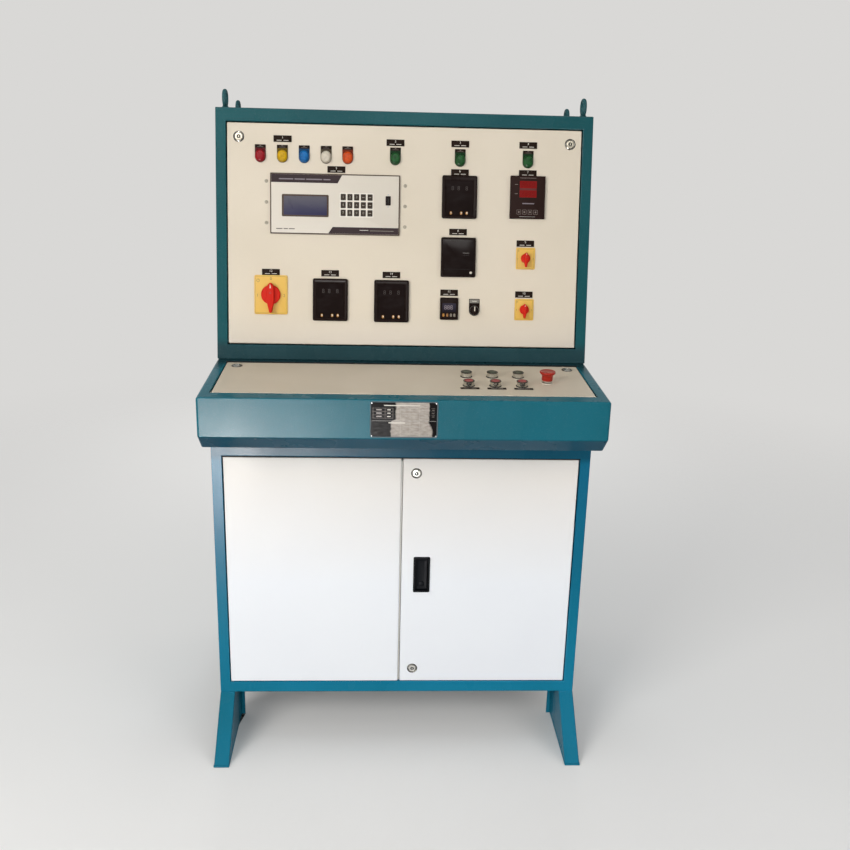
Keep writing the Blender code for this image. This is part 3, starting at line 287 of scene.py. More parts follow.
def figures(text, height, level=0, rise=0.15):
    """Plain numbers as a thin raised print, from the built-in font, merged into one mesh.

    A figure's height is a fixed share of the font's size.
    """
    curve = bpy.data.curves.new("figures", "FONT")
    curve.body = text
    curve.size = height * MM / FIGURE_SHARE
    curve.align_x = "CENTER"
    curve.align_y = "CENTER"
    curve.extrude = rise * MM / 2
    curve.resolution_u = 3
    guide = bpy.data.objects.new("figures", curve)
    bpy.context.scene.collection.objects.link(guide)
    view = bpy.context.evaluated_depsgraph_get()
    drawn = bpy.data.meshes.new_from_object(guide.evaluated_get(view))
    merged = bmesh.new()
    merged.from_mesh(drawn)
    bmesh.ops.remove_doubles(merged, verts=merged.verts, dist=1e-6)
    merged.to_mesh(drawn)
    merged.free()
    points = np.empty(len(drawn.vertices) * 3)
    corners = np.empty(len(drawn.loops), int)
    sizes = np.empty(len(drawn.polygons), int)
    drawn.vertices.foreach_get("co", points)
    drawn.loops.foreach_get("vertex_index", corners)
    drawn.polygons.foreach_get("loop_total", sizes)
    bpy.data.objects.remove(guide)
    bpy.data.meshes.remove(drawn)
    return points.reshape(-1, 3) / MM + (0, 0, level + rise / 2), corners, sizes


def moved(shell, across=0, up=0, out=0, turn=0):
    """A shell turned anticlockwise in its own face, then shifted."""
    points, corners, sizes = shell
    c, s = math.cos(turn), math.sin(turn)
    spin = np.array([(c, s, 0), (-s, c, 0), (0, 0, 1)])
    return points @ spin + (across, up, out), corners, sizes


def set_on(on, parts, across=0, up=0, out=0):
    """Parts set on a face, round a spot on it. A part is a shell and its material and, where
    it has them, its own shifts across, up and out and its turn."""
    placed = []
    for shell, look, *shift in parts:
        points, corners, sizes = moved(shell, *shift)
        points = (points + (across, up, out)) @ on[1] + on[0]
        placed.append(((points, corners, sizes), look))
    return placed


# Pieces

SHARP_EDGE = math.radians(35)


def piece(name, body, slot, placed, replaces=()):
    """Join shells that are set on their faces into one named piece on a body."""
    shells, wears = zip(*placed)
    looks = list(dict.fromkeys(wears))
    counts = [len(points) for points, _, _ in shells]
    starts = np.cumsum([0, *counts[:-1]])
    points = np.concatenate([shell[0] for shell in shells]) * MM
    corners = np.concatenate([shell[1] + start for shell, start in zip(shells, starts)])
    sizes = np.concatenate([shell[2] for shell in shells])
    faces = [len(shell[2]) for shell in shells]
    worn = np.repeat([looks.index(look) for look in wears], faces)
    mesh = bpy.data.meshes.new(name)
    mesh.vertices.add(len(points))
    mesh.vertices.foreach_set("co", points.astype(np.float32).reshape(-1))
    mesh.loops.add(len(corners))
    mesh.loops.foreach_set("vertex_index", corners.astype(np.int32))
    mesh.polygons.add(len(sizes))
    mesh.polygons.foreach_set("loop_start", (np.cumsum(sizes) - sizes).astype(np.int32))
    for look in looks:
        mesh.materials.append(look)
    mesh.polygons.foreach_set("material_index", worn.astype(np.int32))
    mesh.update(calc_edges=True)
    mesh.validate()
    mesh.shade_smooth()
    mesh.set_sharp_from_angle(angle=SHARP_EDGE)
    settle(bpy.data.objects.new(name, mesh), body, slot, replaces)


def settle(made, body, slot, replaces):
    """Put a piece in the scene, on its body, and hide the nodes it is for. Its slot is not used."""
    bpy.context.scene.collection.objects.link(made)
    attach(made, body)
    if replaces:
        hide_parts(*replaces)


# In metres and radians, because they are measured on the CAD's own meshes
FOLD_SEGMENTS = 3
FOLD_SHARE = 0.35
SHORT_EDGE = 0.010
FLAT_ANGLE = math.radians(1)
FOLD_ANGLE = math.radians(25)
SMOOTH_ANGLE = math.radians(30)


def folded(node, body, slot, look, radius, ends=None):
    """A copy of a CAD node with its folds rounded.

    The copy's loose triangles are merged and its flat faces joined. Each long outward edge
    is bevelled by the smaller of the fold's radius and a share of its narrowest face. Edges
    that ends(middle) picks get the larger radius that it gives.
    """
    drawn = bmesh.new()
    drawn.from_mesh(NODES[node].data)
    bmesh.ops.remove_doubles(drawn, verts=drawn.verts, dist=1e-5)
    bmesh.ops.dissolve_limit(
        drawn, angle_limit=FLAT_ANGLE, verts=drawn.verts, edges=drawn.edges
    )
    weight = drawn.edges.layers.float.new("bevel_weight_edge")
    wide = radius
    for edge in drawn.edges:
        edge.smooth = True
        if len(edge.link_faces) != 2 or edge.calc_length() < SHORT_EDGE:
            continue
        if edge.calc_face_angle_signed() < FOLD_ANGLE:
            continue
        start, end = (corner.co for corner in edge.verts)
        along = (end - start).normalized()
        narrowest = min(
            max((v.co - start).cross(along).length for v in side.verts)
            for side in edge.link_faces
        )
        size = min(max(radius, ends((start + end) / 2) if ends else 0), FOLD_SHARE * narrowest)
        edge[weight] = size
        wide = max(wide, size)
    for edge in drawn.edges:
        edge[weight] /= wide
        if edge[weight] == 0 and len(edge.link_faces) == 2:
            edge.smooth = edge.calc_face_angle() < SMOOTH_ANGLE
    mesh = bpy.data.meshes.new(f"{node}_folded")
    drawn.to_mesh(mesh)
    drawn.free()
    mesh.materials.append(look)
    mesh.polygons.foreach_set("use_smooth", np.ones(len(mesh.polygons), bool))
    made = bpy.data.objects.new(f"{node}_folded", mesh)
    fold = made.modifiers.new("folds", "BEVEL")
    fold.limit_method = "WEIGHT"
    fold.width = wide
    fold.segments = FOLD_SEGMENTS
    fold.use_clamp_overlap = False
    fold.miter_outer = "MITER_SHARP"
    even = made.modifiers.new("even_faces", "WEIGHTED_NORMAL")
    even.keep_sharp = True
    even.weight = 100
    settle(made, body, slot, [node])


# Materials


def linear(code):
    """The linear colour, with full opacity, of a six-digit sRGB code."""
    value = np.array([int(code[start:start + 2], 16) for start in (0, 2, 4)]) / 255
    light = np.where(value <= 0.04045, value / 12.92, ((value + 0.055) / 1.055) ** 2.4)
    return (*light.tolist(), 1.0)


class Finish:
    """A material under way: its nodes, on object coordinates in metres."""

    def __init__(self, name, rough=0.5, metal=0.0, sheen=None):
        self.material = bpy.data.materials.new(name)
        self.material.use_nodes = True
        self.nodes = self.material.node_tree.nodes
        self.links = self.material.node_tree.links
        self.shader = self.nodes["Principled BSDF"]
        self.shader.inputs["Roughness"].default_value = rough
        self.shader.inputs["Metallic"].default_value = metal
        for socket, value in (sheen or {}).items():
            self.shader.inputs[socket].default_value = value
        self.place = self.add("ShaderNodeTexCoord").outputs["Object"]
        split = self.add("ShaderNodeSeparateXYZ", {"Vector": self.place})
        self.x, self.y, self.z = (split.outputs[axis] for axis in "XYZ")

    def add(self, kind, inputs=None, **settings):
        """Add a node, with settings, and with values or other nodes' sockets as inputs."""
        made = self.nodes.new(kind)
        for key, value in settings.items():
            setattr(made, key, value)
        for key, value in (inputs or {}).items():
            if isinstance(value, bpy.types.NodeSocket):
                self.links.new(value, made.inputs[key])
            else:
                made.inputs[key].default_value = value
        return made

    def noise(self, scale, detail=2.0, stretch=None):
        """Cloudy noise, from 0 to 1, drawn out along the axes by a stretch."""
        place = self.place
        if stretch:
            place = self.add(
                "ShaderNodeMapping", {"Vector": self.place, "Scale": stretch}
            ).outputs["Vector"]
        inputs = {"Vector": place, "Scale": scale, "Detail": detail}
        return self.add("ShaderNodeTexNoise", inputs).outputs["Fac"]

    def band(self, value, low, high, start=0.0, end=1.0):
        """A value mapped from low-high to start-end, and held outside that."""
        inputs = {"Value": value, "From Min": low, "From Max": high, "To Min": start, "To Max": end}
        return self.add("ShaderNodeMapRange", inputs, clamp=True).outputs["Result"]

    def math(self, operation, first, second=0.0):
        """One sum on two values."""
        inputs = {0: first, 1: second}
        return self.add("ShaderNodeMath", inputs, operation=operation).outputs["Value"]

    def near(self, on):
        """The share, 1 on a face and 0 a few millimetres below it."""
        inputs = {0: self.place, 1: on[1][2].tolist()}
        along = self.add("ShaderNodeVectorMath", inputs, operation="DOT_PRODUCT")
        level = float(on[0] @ on[1][2])
        return self.band(along.outputs["Value"], (level - 4.0) * MM, (level - 1.5) * MM)

    def mix(self, share, first, second):
        """Two colours mixed by a share."""
        inputs = {0: share, 6: first, 7: second}
        return self.add("ShaderNodeMix", inputs, data_type="RGBA").outputs[2]

    def use(self, name, socket):
        """Link a socket to one of the shader's inputs."""
        self.links.new(socket, self.shader.inputs[name])

    def finish(self, colour, rough=None, height=None, depth=0.0):
        """The material, with sockets as its colour and roughness, and with its surface raised
        by a height pattern of a depth in metres."""
        self.use("Base Color", colour)
        if rough is not None:
            self.use("Roughness", rough)
        if height is not None:
            inputs = {"Height": height, "Distance": depth, "Strength": 1.0}
            self.use("Normal", self.add("ShaderNodeBump", inputs).outputs["Normal"])
        return self.material


GLOSS = "Specular IOR Level"
SATIN = {GLOSS: 0.22}
FAINT = {GLOSS: 0.06}
DULL = {GLOSS: 0.05}


def sprayed(name, shades, rough, peel, painted_shade_zones=(), gloss=None, specks=0.3, dusty=None):
    """Sprayed paint: pairs of shades in soft clouds, fine specks, orange peel and duller
    patches. Each zone is the span of heights in which the next pair of shades takes over,
    and the face that it keeps to, or None; these zones paint light and shade into the colour.
    A dusty face is duller and a little paler.
    """
    made = Finish(name, rough, sheen=gloss)
    clouds = made.band(made.noise(2.6, 4), 0.35, 0.65)
    grain = made.noise(620, 2)
    colour = made.mix(clouds, *map(linear, shades[0]))
    # Each zone blends in a lighter or darker pair of shades: painted light and shade.
    for pair, (heights, on) in zip(shades[1:], painted_shade_zones):
        share = made.band(made.z, *heights)
        if on:
            share = made.math("MULTIPLY", share, made.near(on))
        colour = made.mix(share, colour, made.mix(clouds, *map(linear, pair)))
    speck = made.band(grain, 0.62, 0.80, 0.0, specks * 0.25)
    colour = made.mix(speck, colour, linear("f4f4f0"))
    pit = made.band(grain, 0.22, 0.38, specks * 0.30, 0.0)
    colour = made.mix(pit, colour, linear("0c1214"))
    smudges = made.noise(9, 5, (1.0, 1.0, 0.45))
    dull = made.band(smudges, 0.3, 0.7, rough - 0.04, rough + 0.07)
    if dusty:
        film = made.math("MULTIPLY", made.near(dusty), made.band(smudges, 0.2, 0.8, 0.6, 1.0))
        dull = made.math("ADD", dull, made.math("MULTIPLY", film, 0.40))
        colour = made.mix(made.math("MULTIPLY", film, 0.10), colour, linear("8f9392"))
    coarse = made.noise(380, 1)
    height = made.math("ADD", made.math("MULTIPLY", grain, 0.5), coarse)
    return made.finish(colour, dull, height, peel)


def moulded(name, code, rough, worn="8a8a88", texture=900, depth=0.00004, gloss=None):
    """Moulded plastic: a fine spark texture, faint clouds of tone and handled patches."""
    made = Finish(name, rough, sheen=gloss)
    tone = made.mix(made.band(made.noise(22, 3), 0.3, 0.7, 0.0, 0.10), linear(code), linear(worn))
    handled = made.band(made.noise(60, 4), 0.3, 0.7, rough - 0.05, rough + 0.09)
    return made.finish(tone, handled, made.noise(texture, 2), depth)


def metal(name, code, rough, scale=260, depth=0.00002, dull="6d6f70"):
    """Bare or plated metal: fine grain, tarnish in clouds and uneven polish."""
    made = Finish(name, rough, 1.0)
    tarnish = made.band(made.noise(35, 5), 0.45, 0.75, 0.0, 0.35)
    colour = made.mix(tarnish, linear(code), linear(dull))
    lines = made.noise(scale, 3)
    polish = made.band(lines, 0.3, 0.7, rough - 0.05, rough + 0.10)
    return made.finish(colour, polish, lines, depth)


def window(name, code, rough, gloss, deep=None, span=None):
    """A smooth window or display with faint wiping marks: one colour, or a deeper one that
    blends into it over a span of heights."""
    made = Finish(name, rough, sheen={GLOSS: gloss})
    colour = linear(code)
    if deep:
        colour = made.mix(made.band(made.z, *span), linear(deep), colour)
    marks = made.band(made.noise(45, 4, (0.5, 1.0, 1.0)), 0.5, 0.8, 0.0, 0.02)
    colour = made.mix(marks, colour, linear("9a9a9c"))
    return made.finish(colour, made.band(made.noise(50, 4), 0.3, 0.7, rough, rough + 0.08))


def lens(name, code, deep):
    """A signal lamp's lens: clear colour in clouds with a darker shade, and a fine bumpy texture.
    """
    made = Finish(name, 0.30, sheen={
        GLOSS: 0.10, "Subsurface Weight": 0.15, "Subsurface Scale": 0.003,
        "Subsurface Radius": (1.0, 0.8, 0.8),
    })
    swirl = made.band(made.noise(160, 2), 0.35, 0.65)
    colour = made.mix(swirl, linear(deep), linear(code))
    return made.finish(colour, height=made.noise(420, 1), depth=0.00008)


# Paint, with the depth of its orange peel in metres
PEEL = 0.00017
DOOR_PEEL = 0.00012
LID_PEEL = 0.00004
# The teal is one paint. Its three materials, for the cabinet, the desk and the console, are painted
# lit and shaded copies of it. On the cabinet the feet below 0.13 m are painted darker, the lower
# part is painted lighter than higher up, and the front rail under the desk's overhang is painted
# darker as a shadow.
CABINET_TEAL_WITH_PAINTED_SHADE = sprayed(
    "teal_paint",
    [("14697f", "18738f"), ("13738e", "187e9e"), ("126786", "16708f"), ("0f5068", "125b74")],
    0.26, PEEL, [((0.125, 0.135), None), ((0.30, 0.65), None), ((0.785, 0.800), FRONT)], FAINT,
)
# The desk's copy of the teal: its chamfer is painted darker as shade, and a dark strip along the
# desk top just behind the lid is a painted shadow.
DESK_TEAL_WITH_PAINTED_SHADE = sprayed(
    "desk_teal_painted_shade", [("16616f", "1b6a7a"), ("0f5068", "125b74"), ("16353b", "1a3e45")],
    0.26, PEEL, [((0.906, 0.896), CHAMFER), ((1.0045, 1.0075), DESK)], FAINT,
)
# The console's copy of the teal, greener and darker than the cabinet's as painted shade. The bottom
# of its front, just over the desk, is painted darker still as shade. The dusty roof is duller and a
# little paler.
CONSOLE_TEAL_WITH_PAINTED_SHADE = sprayed(
    "console_teal_painted_shade", [("144a50", "1b5459"), ("213c41", "25444a")], 0.26, PEEL,
    [((1.062, 1.040), CONSOLE)], FAINT, dusty=ROOF,
)
# The lower part of the instrument door, below about 1.14 m, is painted darker as shade.
CREAM_WITH_PAINTED_SHADE = sprayed(
    "cream_paint", [("cfc6bb", "c9c0b3"), ("dacebb", "d3c7b3")], 0.42, DOOR_PEEL,
    [((1.02, 1.14), None)], SATIN, 0.12,
)
LID_CREAM = sprayed("desk_cream_paint", [("dacebb", "d2c6b1")], 0.44, LID_PEEL, (), SATIN, 0.12)
# The doors are painted darker and warmer towards their tops as shade under the desk's overhang, and
# lighter and cooler lower down as painted light.
WHITE_WITH_PAINTED_SHADE = sprayed(
    "white_paint", [("f8fafd", "f5f7fb"), ("f2ece5", "efeae4")], 0.38, DOOR_PEEL,
    [((0.45, 0.75), None)], DULL, 0.10,
)

# Metal
CHROME = metal("bright_chrome", "cfcec8", 0.20, depth=0.000005)
SOFT_NICKEL = metal("soft_nickel", "a09a8c", 0.30)
NICKEL = metal("dark_nickel", "6e6c66", 0.26)
RIM_NICKEL = metal("smoked_nickel", "4e4b46", 0.30)
ZINC = metal("zinc_plate", "a9acae", 0.36, depth=0.00003)
GALVANISED = metal("galvanised_sheet", "7d8183", 0.62, 90, 0.00004, "686c6e")
BRASS = metal("terminal_brass", "c8a860", 0.32)

# Plastic, rubber and print. Each texture is its noise's scale and its depth in metres.
SMOOTH = (1400, 0.00002)
SHEET = (1100, 0.00002)
FILM = (1100, 0.00001)
INK = (1600, 0.00001)
PLATE_RIM = moulded("plate_rim", "56666c", 0.45, "6d7c80", *SMOOTH, DULL)
BLACK = moulded("black_plastic", "100e0d", 0.38, "3c3634", gloss=SATIN)
BLACK_GLOSS = moulded("black_bezel", "1a100d", 0.28, "342620", *SMOOTH, DULL)
BROWN_PLATE = moulded("dark_front_plate", "241410", 0.38, "3a2620", *SMOOTH, DULL)
WINDOW = window("smoked_window", "170e0c", 0.12, 0.07)
RED_WINDOW = window("red_window", "7f1310", 0.28, 0.05)
RED_SURROUND = moulded("red_surround", "56130f", 0.34, "46110e", *SMOOTH, SATIN)
SEGMENT = moulded("unlit_segments", "70110e", 0.4, "64100d", gloss=DULL)
DIM_DIGIT = moulded("unlit_digits", "2a201d", 0.4, "241b18", gloss=SATIN)
LABEL = moulded("label_black", "1c1008", 0.5, "2d1f16", *INK, DULL)
PRINT = moulded("white_print", "cfc8bb", 0.6, "aaa398", *INK)
DIM_PRINT = moulded("dim_print", "6c5d54", 0.5, "57493f", *INK)
DARK_PRINT = moulded("dark_print", "7a6420", 0.6, "8a7436", *INK)
RULE_PRINT = moulded("dark_rule_print", "4a4036", 0.55, "5c5248", *INK)
MEMBRANE = moulded("membrane_face", "c9c0b1", 0.42, "b4ab9c", *SHEET)
KEY_GROUND = moulded("key_ground", "d8d0c3", 0.45, "bdb5a8", *SHEET)
BANNER = moulded("banner_print", "392e30", 0.40, "473c3e", *FILM, DULL)
PLATE_EDGE = moulded("dark_plate_edge", "4f4037", 0.42, "5d4e44", *FILM, DULL)
BANNER_PRINT = moulded("banner_figures", "7a6f75", 0.5, "696067", *INK, SATIN)
KEY_TOP = moulded("brown_keys", "3b322b", 0.46, "4c4239", gloss=DULL)
KEY_SIGN = moulded("key_signs", "8d8376", 0.5, "7a7165", *INK)
KEY = moulded("dark_keys", "2b2724", 0.40, "443f3a", gloss=SATIN)
YELLOW = moulded("yellow_plastic", "dbb04d", 0.40, "cca44a", gloss=SATIN)
RED = moulded("red_plastic", "cb2416", 0.36, "b02c1c", gloss=DULL)
STOP_RED = moulded("stop_red", "9c2416", 0.30, "8a2c1e", gloss=SATIN)
CAP_RED = moulded("red_cap", "9c4444", 0.36, "864646", gloss=SATIN)
CAP_GREEN = moulded("dark_green_cap", "444a3c", 0.38, "575d4e", gloss=SATIN)
GREY = moulded("grey_plastic", "96928b", 0.45, "7d7973")
AMBER = moulded("amber_key", "b07a36", 0.38, "8f663a", gloss=SATIN)
DULL_AMBER = moulded("dull_amber_key", "9a6b3c", 0.38, "7d5a38", gloss=SATIN)
DULL_KEY = moulded("grey_key", "81786b", 0.40, "6b6359", gloss=SATIN)
PALE_KEY = moulded("pale_key", "ddd3c3", 0.40, "c2b8a8", gloss=SATIN)
TIMER_GLASS = window("timer_window", "2e2a36", 0.20, 0.06, "120c0e", (1.132, 1.150))
LCD = window("liquid_display", "55535c", 0.26, 0.08, "34334f", (1.375, 1.415))
DULL_SCREW = moulded("aged_screws", "a89f8e", 0.5, "8b8375", gloss=SATIN)
LEGEND = moulded("legend_plate", "6a655a", 0.42, "575349")
SEAL = moulded("black_seal", "0e1012", 0.7, "1e2022", 500, 0.0001, SATIN)
# The edge seal's pale grey stands in for light reaching into the door gap: painted light.
EDGE_SEAL_PAINTED_LIGHT = moulded("edge_seal_with_painted_light", "b8b5ae", 0.6, "a3a099", 500, 0.00005)
HANDLE_BLACK = moulded("handle_black", "0c0f13", 0.46, "1a1e23", gloss=DULL)

# Each colour of signal lamp: its lens, the lens's darker shade, and its holder
LAMP_COLOURS = {
    "green": ("1f5528", "133a1b", "14301a"),
    "red": ("9c0f1c", "7c0c16", "521318"),
    "yellow": ("cda30f", "b08a08", "5c4a10"),
    "blue": ("0c68aa", "0a5088", "123a5c"),
    "white": ("cfc6b6", "bdb4a2", "453d30"),
    "orange": ("cd4c14", "b04010", "672610"),
}
LAMP_LOOKS = {
    colour: (
        lens(f"{colour}_lens", code, deep),
        moulded(f"{colour}_holder", shade, 0.4, shade, gloss=DULL),
    )
    for colour, (code, deep, shade) in LAMP_COLOURS.items()
}


# Sheet-metal work. The folds and the body's half width are in metres.

BODY_FOLD = 0.0022
LEAF_FOLD = 0.0026
PLATE_FOLD = 0.001
DESK_END_FOLD = 0.0060
HALF_BODY = 0.475


def desk_ends(place):
    """The larger fold of the desk's end edges, which run round its two side faces."""
    outer = abs(abs(place.x) - HALF_BODY) < 0.001 and place.y < 0.29
    return DESK_END_FOLD if outer and place.z < 1.02 else 0.0


def make_sheet_metal():
    """The painted housings, covers, feet, doors and lid, with their folds rounded."""
    for node, look in (
        ("cabinet_shell", CABINET_TEAL_WITH_PAINTED_SHADE), ("desk_housing", DESK_TEAL_WITH_PAINTED_SHADE), ("console_shell", CONSOLE_TEAL_WITH_PAINTED_SHADE),
        ("cabinet_rear_cover", CABINET_TEAL_WITH_PAINTED_SHADE), ("console_rear_cover", CONSOLE_TEAL_WITH_PAINTED_SHADE),
        *((f"foot_{corner}", CABINET_TEAL_WITH_PAINTED_SHADE) for corner in CORNERS),
    ):
        ends = desk_ends if node == "desk_housing" else None
        folded(node, STAND, "teal_paint", look, BODY_FOLD, ends)
    for node, slot, look in (
        (LEFT, "white_paint", WHITE_WITH_PAINTED_SHADE), (RIGHT, "white_paint", WHITE_WITH_PAINTED_SHADE),
        (LID, "cream_paint", LID_CREAM), (DOOR, "cream_paint", CREAM_WITH_PAINTED_SHADE),
    ):
        folded(node, node, slot, look, LEAF_FOLD)
    for node, look in (
        ("left_hinge_rod", GALVANISED), ("right_hinge_rod", GALVANISED),
        ("instrument_hinge_rod", CONSOLE_TEAL_WITH_PAINTED_SHADE),
    ):
        NODES[node].data.materials.clear()
        NODES[node].data.materials.append(look)


# Eyebolts and fixings


def make_eyebolts():
    """Four lifting eyebolts: a ring that faces sideways on a flared collar and a shank."""
    radius, wire = 17, 5.5
    turn = np.linspace(0, math.pi / 2, 6)
    flare = [(12 - 5.8 * math.sin(t), 2.6 + 7.4 * (1 - math.cos(t))) for t in turn]
    collar = lathe([(11.3, 0.3), (12, 0.9), *flare, (5.8, 12.5)], 28)
    for corner in CORNERS:
        node = f"eyebolt_{corner}"
        box = Box(node, ROOF)
        parts = [
            (hoop(radius, wire, box.top - radius - wire), CONSOLE_TEAL_WITH_PAINTED_SHADE), (collar, CONSOLE_TEAL_WITH_PAINTED_SHADE),
            (lathe([(4.5, box.back), (5, box.back + 0.6), (5, 2)], 20), ZINC),
            (nut(17, (0, -10.5), (0, -2.4)), ZINC),
        ]
        box.dress(f"{node}_forged", STAND, "teal_paint", parts)


def make_cover_screws():
    """Screws round the edges of the two rear covers, on a grid of six by four."""
    margin = 9
    head = cross_head(4.5, 2.2)
    screws = []
    for node in ("cabinet_rear_cover", "console_rear_cover"):
        box = Box(node, REAR)
        across = np.linspace(box.left + margin, box.right - margin, 6)
        up = np.linspace(box.foot + margin, box.head - margin, 4)
        spots = [(a, edge) for a in across for edge in (up[0], up[-1])]
        spots += [(edge, b) for b in up[1:-1] for edge in (across[0], across[-1])]
        screws += set_on(REAR, [(head, ZINC, *spot, box.top) for spot in spots])
    piece("rear_cover_screws", STAND, "zinc_steel", screws)


def make_earth_stud():
    """The earth stud at the back: a washer, a brass nut and the end of its bolt."""
    parts = [
        (lathe([(10, 0), (10, 1.2), (9.5, 1.6)], 28), ZINC),
        (nut(13, (0, 1.6), (0, 7.2), (0.6, 7.8)), BRASS),
        (lathe([(3.8, 0), (3.8, 13), (3, 13.8)], 20), BRASS),
    ]
    piece("earth_stud", STAND, "zinc_steel", set_on(REAR, parts, 400, 150))


BOLT_IN = 25
BOLT_SHARES = (0.35, 0.65)
LEG_MIDDLE = 19
SEAM_LEVEL = 129.8


def make_foot_trim():
    """Two bolts inside each foot, a weld seam at its head and a pad under it."""
    bolt = [
        (lathe([(9, 0), (9, 1.4), (8.6, 1.7)], 24), ZINC),
        (nut(13, (0, 1.7), (0, 6.6), (1, 7.4)), ZINC),
    ]
    weld = bead(36, 2.6)
    bolts, welds, pads = [], [], []
    for corner in CORNERS:
        box = Box(f"foot_{corner}", FLOOR)
        inner = box.left + BOLT_IN if corner.endswith("right") else box.right - BOLT_IN
        for share in BOLT_SHARES:
            bolts += set_on(FLOOR, bolt, inner, box.foot + share * box.height, 3)
        outer = max(box.left, box.right, key=abs)
        across = math.copysign(abs(outer) - LEG_MIDDLE, outer)
        on, way = (FRONT, 1) if corner.startswith("front") else (REAR, -1)
        welds += set_on(on, [(weld, CABINET_TEAL_WITH_PAINTED_SHADE)], way * across, SEAM_LEVEL)
        pad = plate(40, box.height + 2, 2, 0, 4.2, 1)
        pads += set_on(FLOOR, [(pad, CABINET_TEAL_WITH_PAINTED_SHADE)], across, box.middle[1])
    piece("foot_bolts", STAND, "zinc_steel", bolts)
    piece("foot_welds", STAND, "teal_paint", welds)
    piece("foot_pads", STAND, "teal_paint", pads)


def make_seals():
    """The seal strip on the left door's edge, its pale grey painted light in the gap, and black
    strips in the gaps over the doors and behind the lid, which are painted shadow lines.
    """
    box = Box(LEFT, FRONT)
    strip = stack(rounded(3.6, box.height - 8, 0.4), [(0, -16.5), (0, -2.6), (0.4, -2.2)])
    edge = set_on(FRONT, [(strip, EDGE_SEAL_PAINTED_LIGHT)], -0.6, box.middle[1] - 2)
    piece("door_edge_seal", LEFT, "grey_plastic", edge)
    # Black strips set in the gaps over the doors and behind the lid: painted shadow lines.
    length, thick, gap = 897, 2.3, 1.8
    shadow_strip_over_doors = plate(length, thick, 0.3, -6, -0.6, 0.4)
    shadow_strip_behind_lid = plate(length, thick, 0.3, -6, 2.2, 0.8)
    piece("painted_shadow_strips", STAND, "black_plastic", [
        *set_on(FRONT, [(shadow_strip_over_doors, SEAL)], 0, box.head + gap),
        *set_on(DESK, [(shadow_strip_behind_lid, SEAL)], 0, Box(LID, DESK).head + gap),
    ])


# Locks and the pull handle

PLUG_RADIUS = 9


def make_lock(node, on, body, way, plug_look):
    """A quarter-turn lock: a fixed flange, barrel and nut, and a plug that turns its cam.

    The CAD's box is longest along the cam's way, and the plug is at its other end.
    """
    box = Box(node, on)
    back = box.back
    across = box.middle[0] - way[0] * (box.width / 2 - PLUG_RADIUS)
    up = box.middle[1] - way[1] * (box.height / 2 - PLUG_RADIUS)
    flange = turned_ring([
        (12.8, 0.3), (12.8, 1), (12.1, 2), (11.2, 2.4), (10.4, 2.1), (9.9, 1.2), (9.8, 0.3),
    ])
    # A black ring round the flange where it meets the sheet: a painted shadow gap.
    shadow_gap_ring = turned_ring([(13.6, 0.2), (13.6, 0.7), (12.4, 0.9), (12.4, 0.2)])
    rear_nut = [(0, -7), (0, -2.3), (4.4, -2.3), (4.4, -7)]
    housing = [
        (flange, NICKEL), (shadow_gap_ring, SEAL), (tube(9.1, 8.4, -15, 0.4), ZINC),
        (stack(hexagon(24), rear_nut, hollow=True), ZINC),
    ]
    piece(f"{node}_housing", body, "zinc_steel", set_on(on, housing, across, up))
    plug = lathe([
        (8, -18), (8, 0.5), (9.5, 0.5), (9.5, 1.8), (8.8, 2.6), (5.2, 2.8), (4.7, 2.4),
        (4.4, 1), (0.2, 1),
    ], 40)
    keyway = lathe([(4.3, 0.9), (4.3, 1.2), (0.2, 1.2)], 24)
    pin = plate(2.4, 6.2, 1.2, 1, 2.6, 0.4)
    strip = softened([(-10, -7), (44, -7), (49, -3.5), (49, 3.5), (44, 7), (-10, 7)])
    cam = stack(polygon(strip), slab(back, back + 3, 0.4))
    moving = [
        (plug, plug_look), (keyway, SEAL), (pin, plug_look),
        (cam, ZINC, 0, 0, 0, math.atan2(way[1], way[0])),
        (nut(10, (0.6, back - 4.6), (0, back - 4), (0, back)), ZINC),
    ]
    piece(f"{node}_plug", node, "zinc_steel", set_on(on, moving, across, up), [node])


def make_pull_handle():
    """The flush pull handle: a rimmed cup in the door, and a finger paddle with a boss."""
    box = Box("door_pull_handle", FRONT)
    width, height, back, top = box.width, box.height, box.back, box.top
    cup = stack(rounded(width, height, 3.5), [
        (3.6, back), (3.6, 0.4), (0, 0.4), (0, top - 1), (0.3, top - 0.3), (1, top), (4, top),
        (4.6, top - 0.6), (5.2, back + 2),
    ])
    lip = border(width - 8, height - 8, 2.5, 0.8, top - 0.4, top + 0.3)
    paddle = stack(rounded(width - 12.5, height - 14, 2.5), [
        (0, -15), (0, -3), (0.4, -2), (1.4, -1.6), (3, -2.4), (8, -3.6),
    ])
    turn = np.linspace(0, math.pi / 2, 7)
    swell = [(7.8 * math.cos(t) + 0.2, 2.2 * math.sin(t) - 3.6) for t in turn]
    parts = [
        (cup, HANDLE_BLACK), (lip, HANDLE_BLACK), (paddle, HANDLE_BLACK),
        (lathe([(8, -6), *swell]), HANDLE_BLACK, 0, -28.5),
    ]
    box.dress("door_pull_handle_cup", RIGHT, "black_plastic", parts)


# Desk top


def label(text, height=16):
    """An engraved label: a black plate with a plain number over two short lines."""
    dash = plate(12.5, 0.08 * height, 0.4, 1.5, 1.75)
    return [
        (plate(45, height, 0.8, 0.2, 1.6, 0.3), LABEL),
        (figures(text, 0.35 * height, 1.6), PRINT, 0, 0.19 * height),
        (dash, PRINT, -8.5, -0.25 * height), (dash, PRINT, 8.5, -0.25 * height),
    ]


def contact_block(side, level, neck, depth=30):
    """The switch block behind a control, under a square sleeve that reaches to its neck."""
    block = plate(30, 42, 2, level - depth, level, 1.5)
    return [(block, GREY), (border(side, side, 4, 2, level, neck), BLACK)]


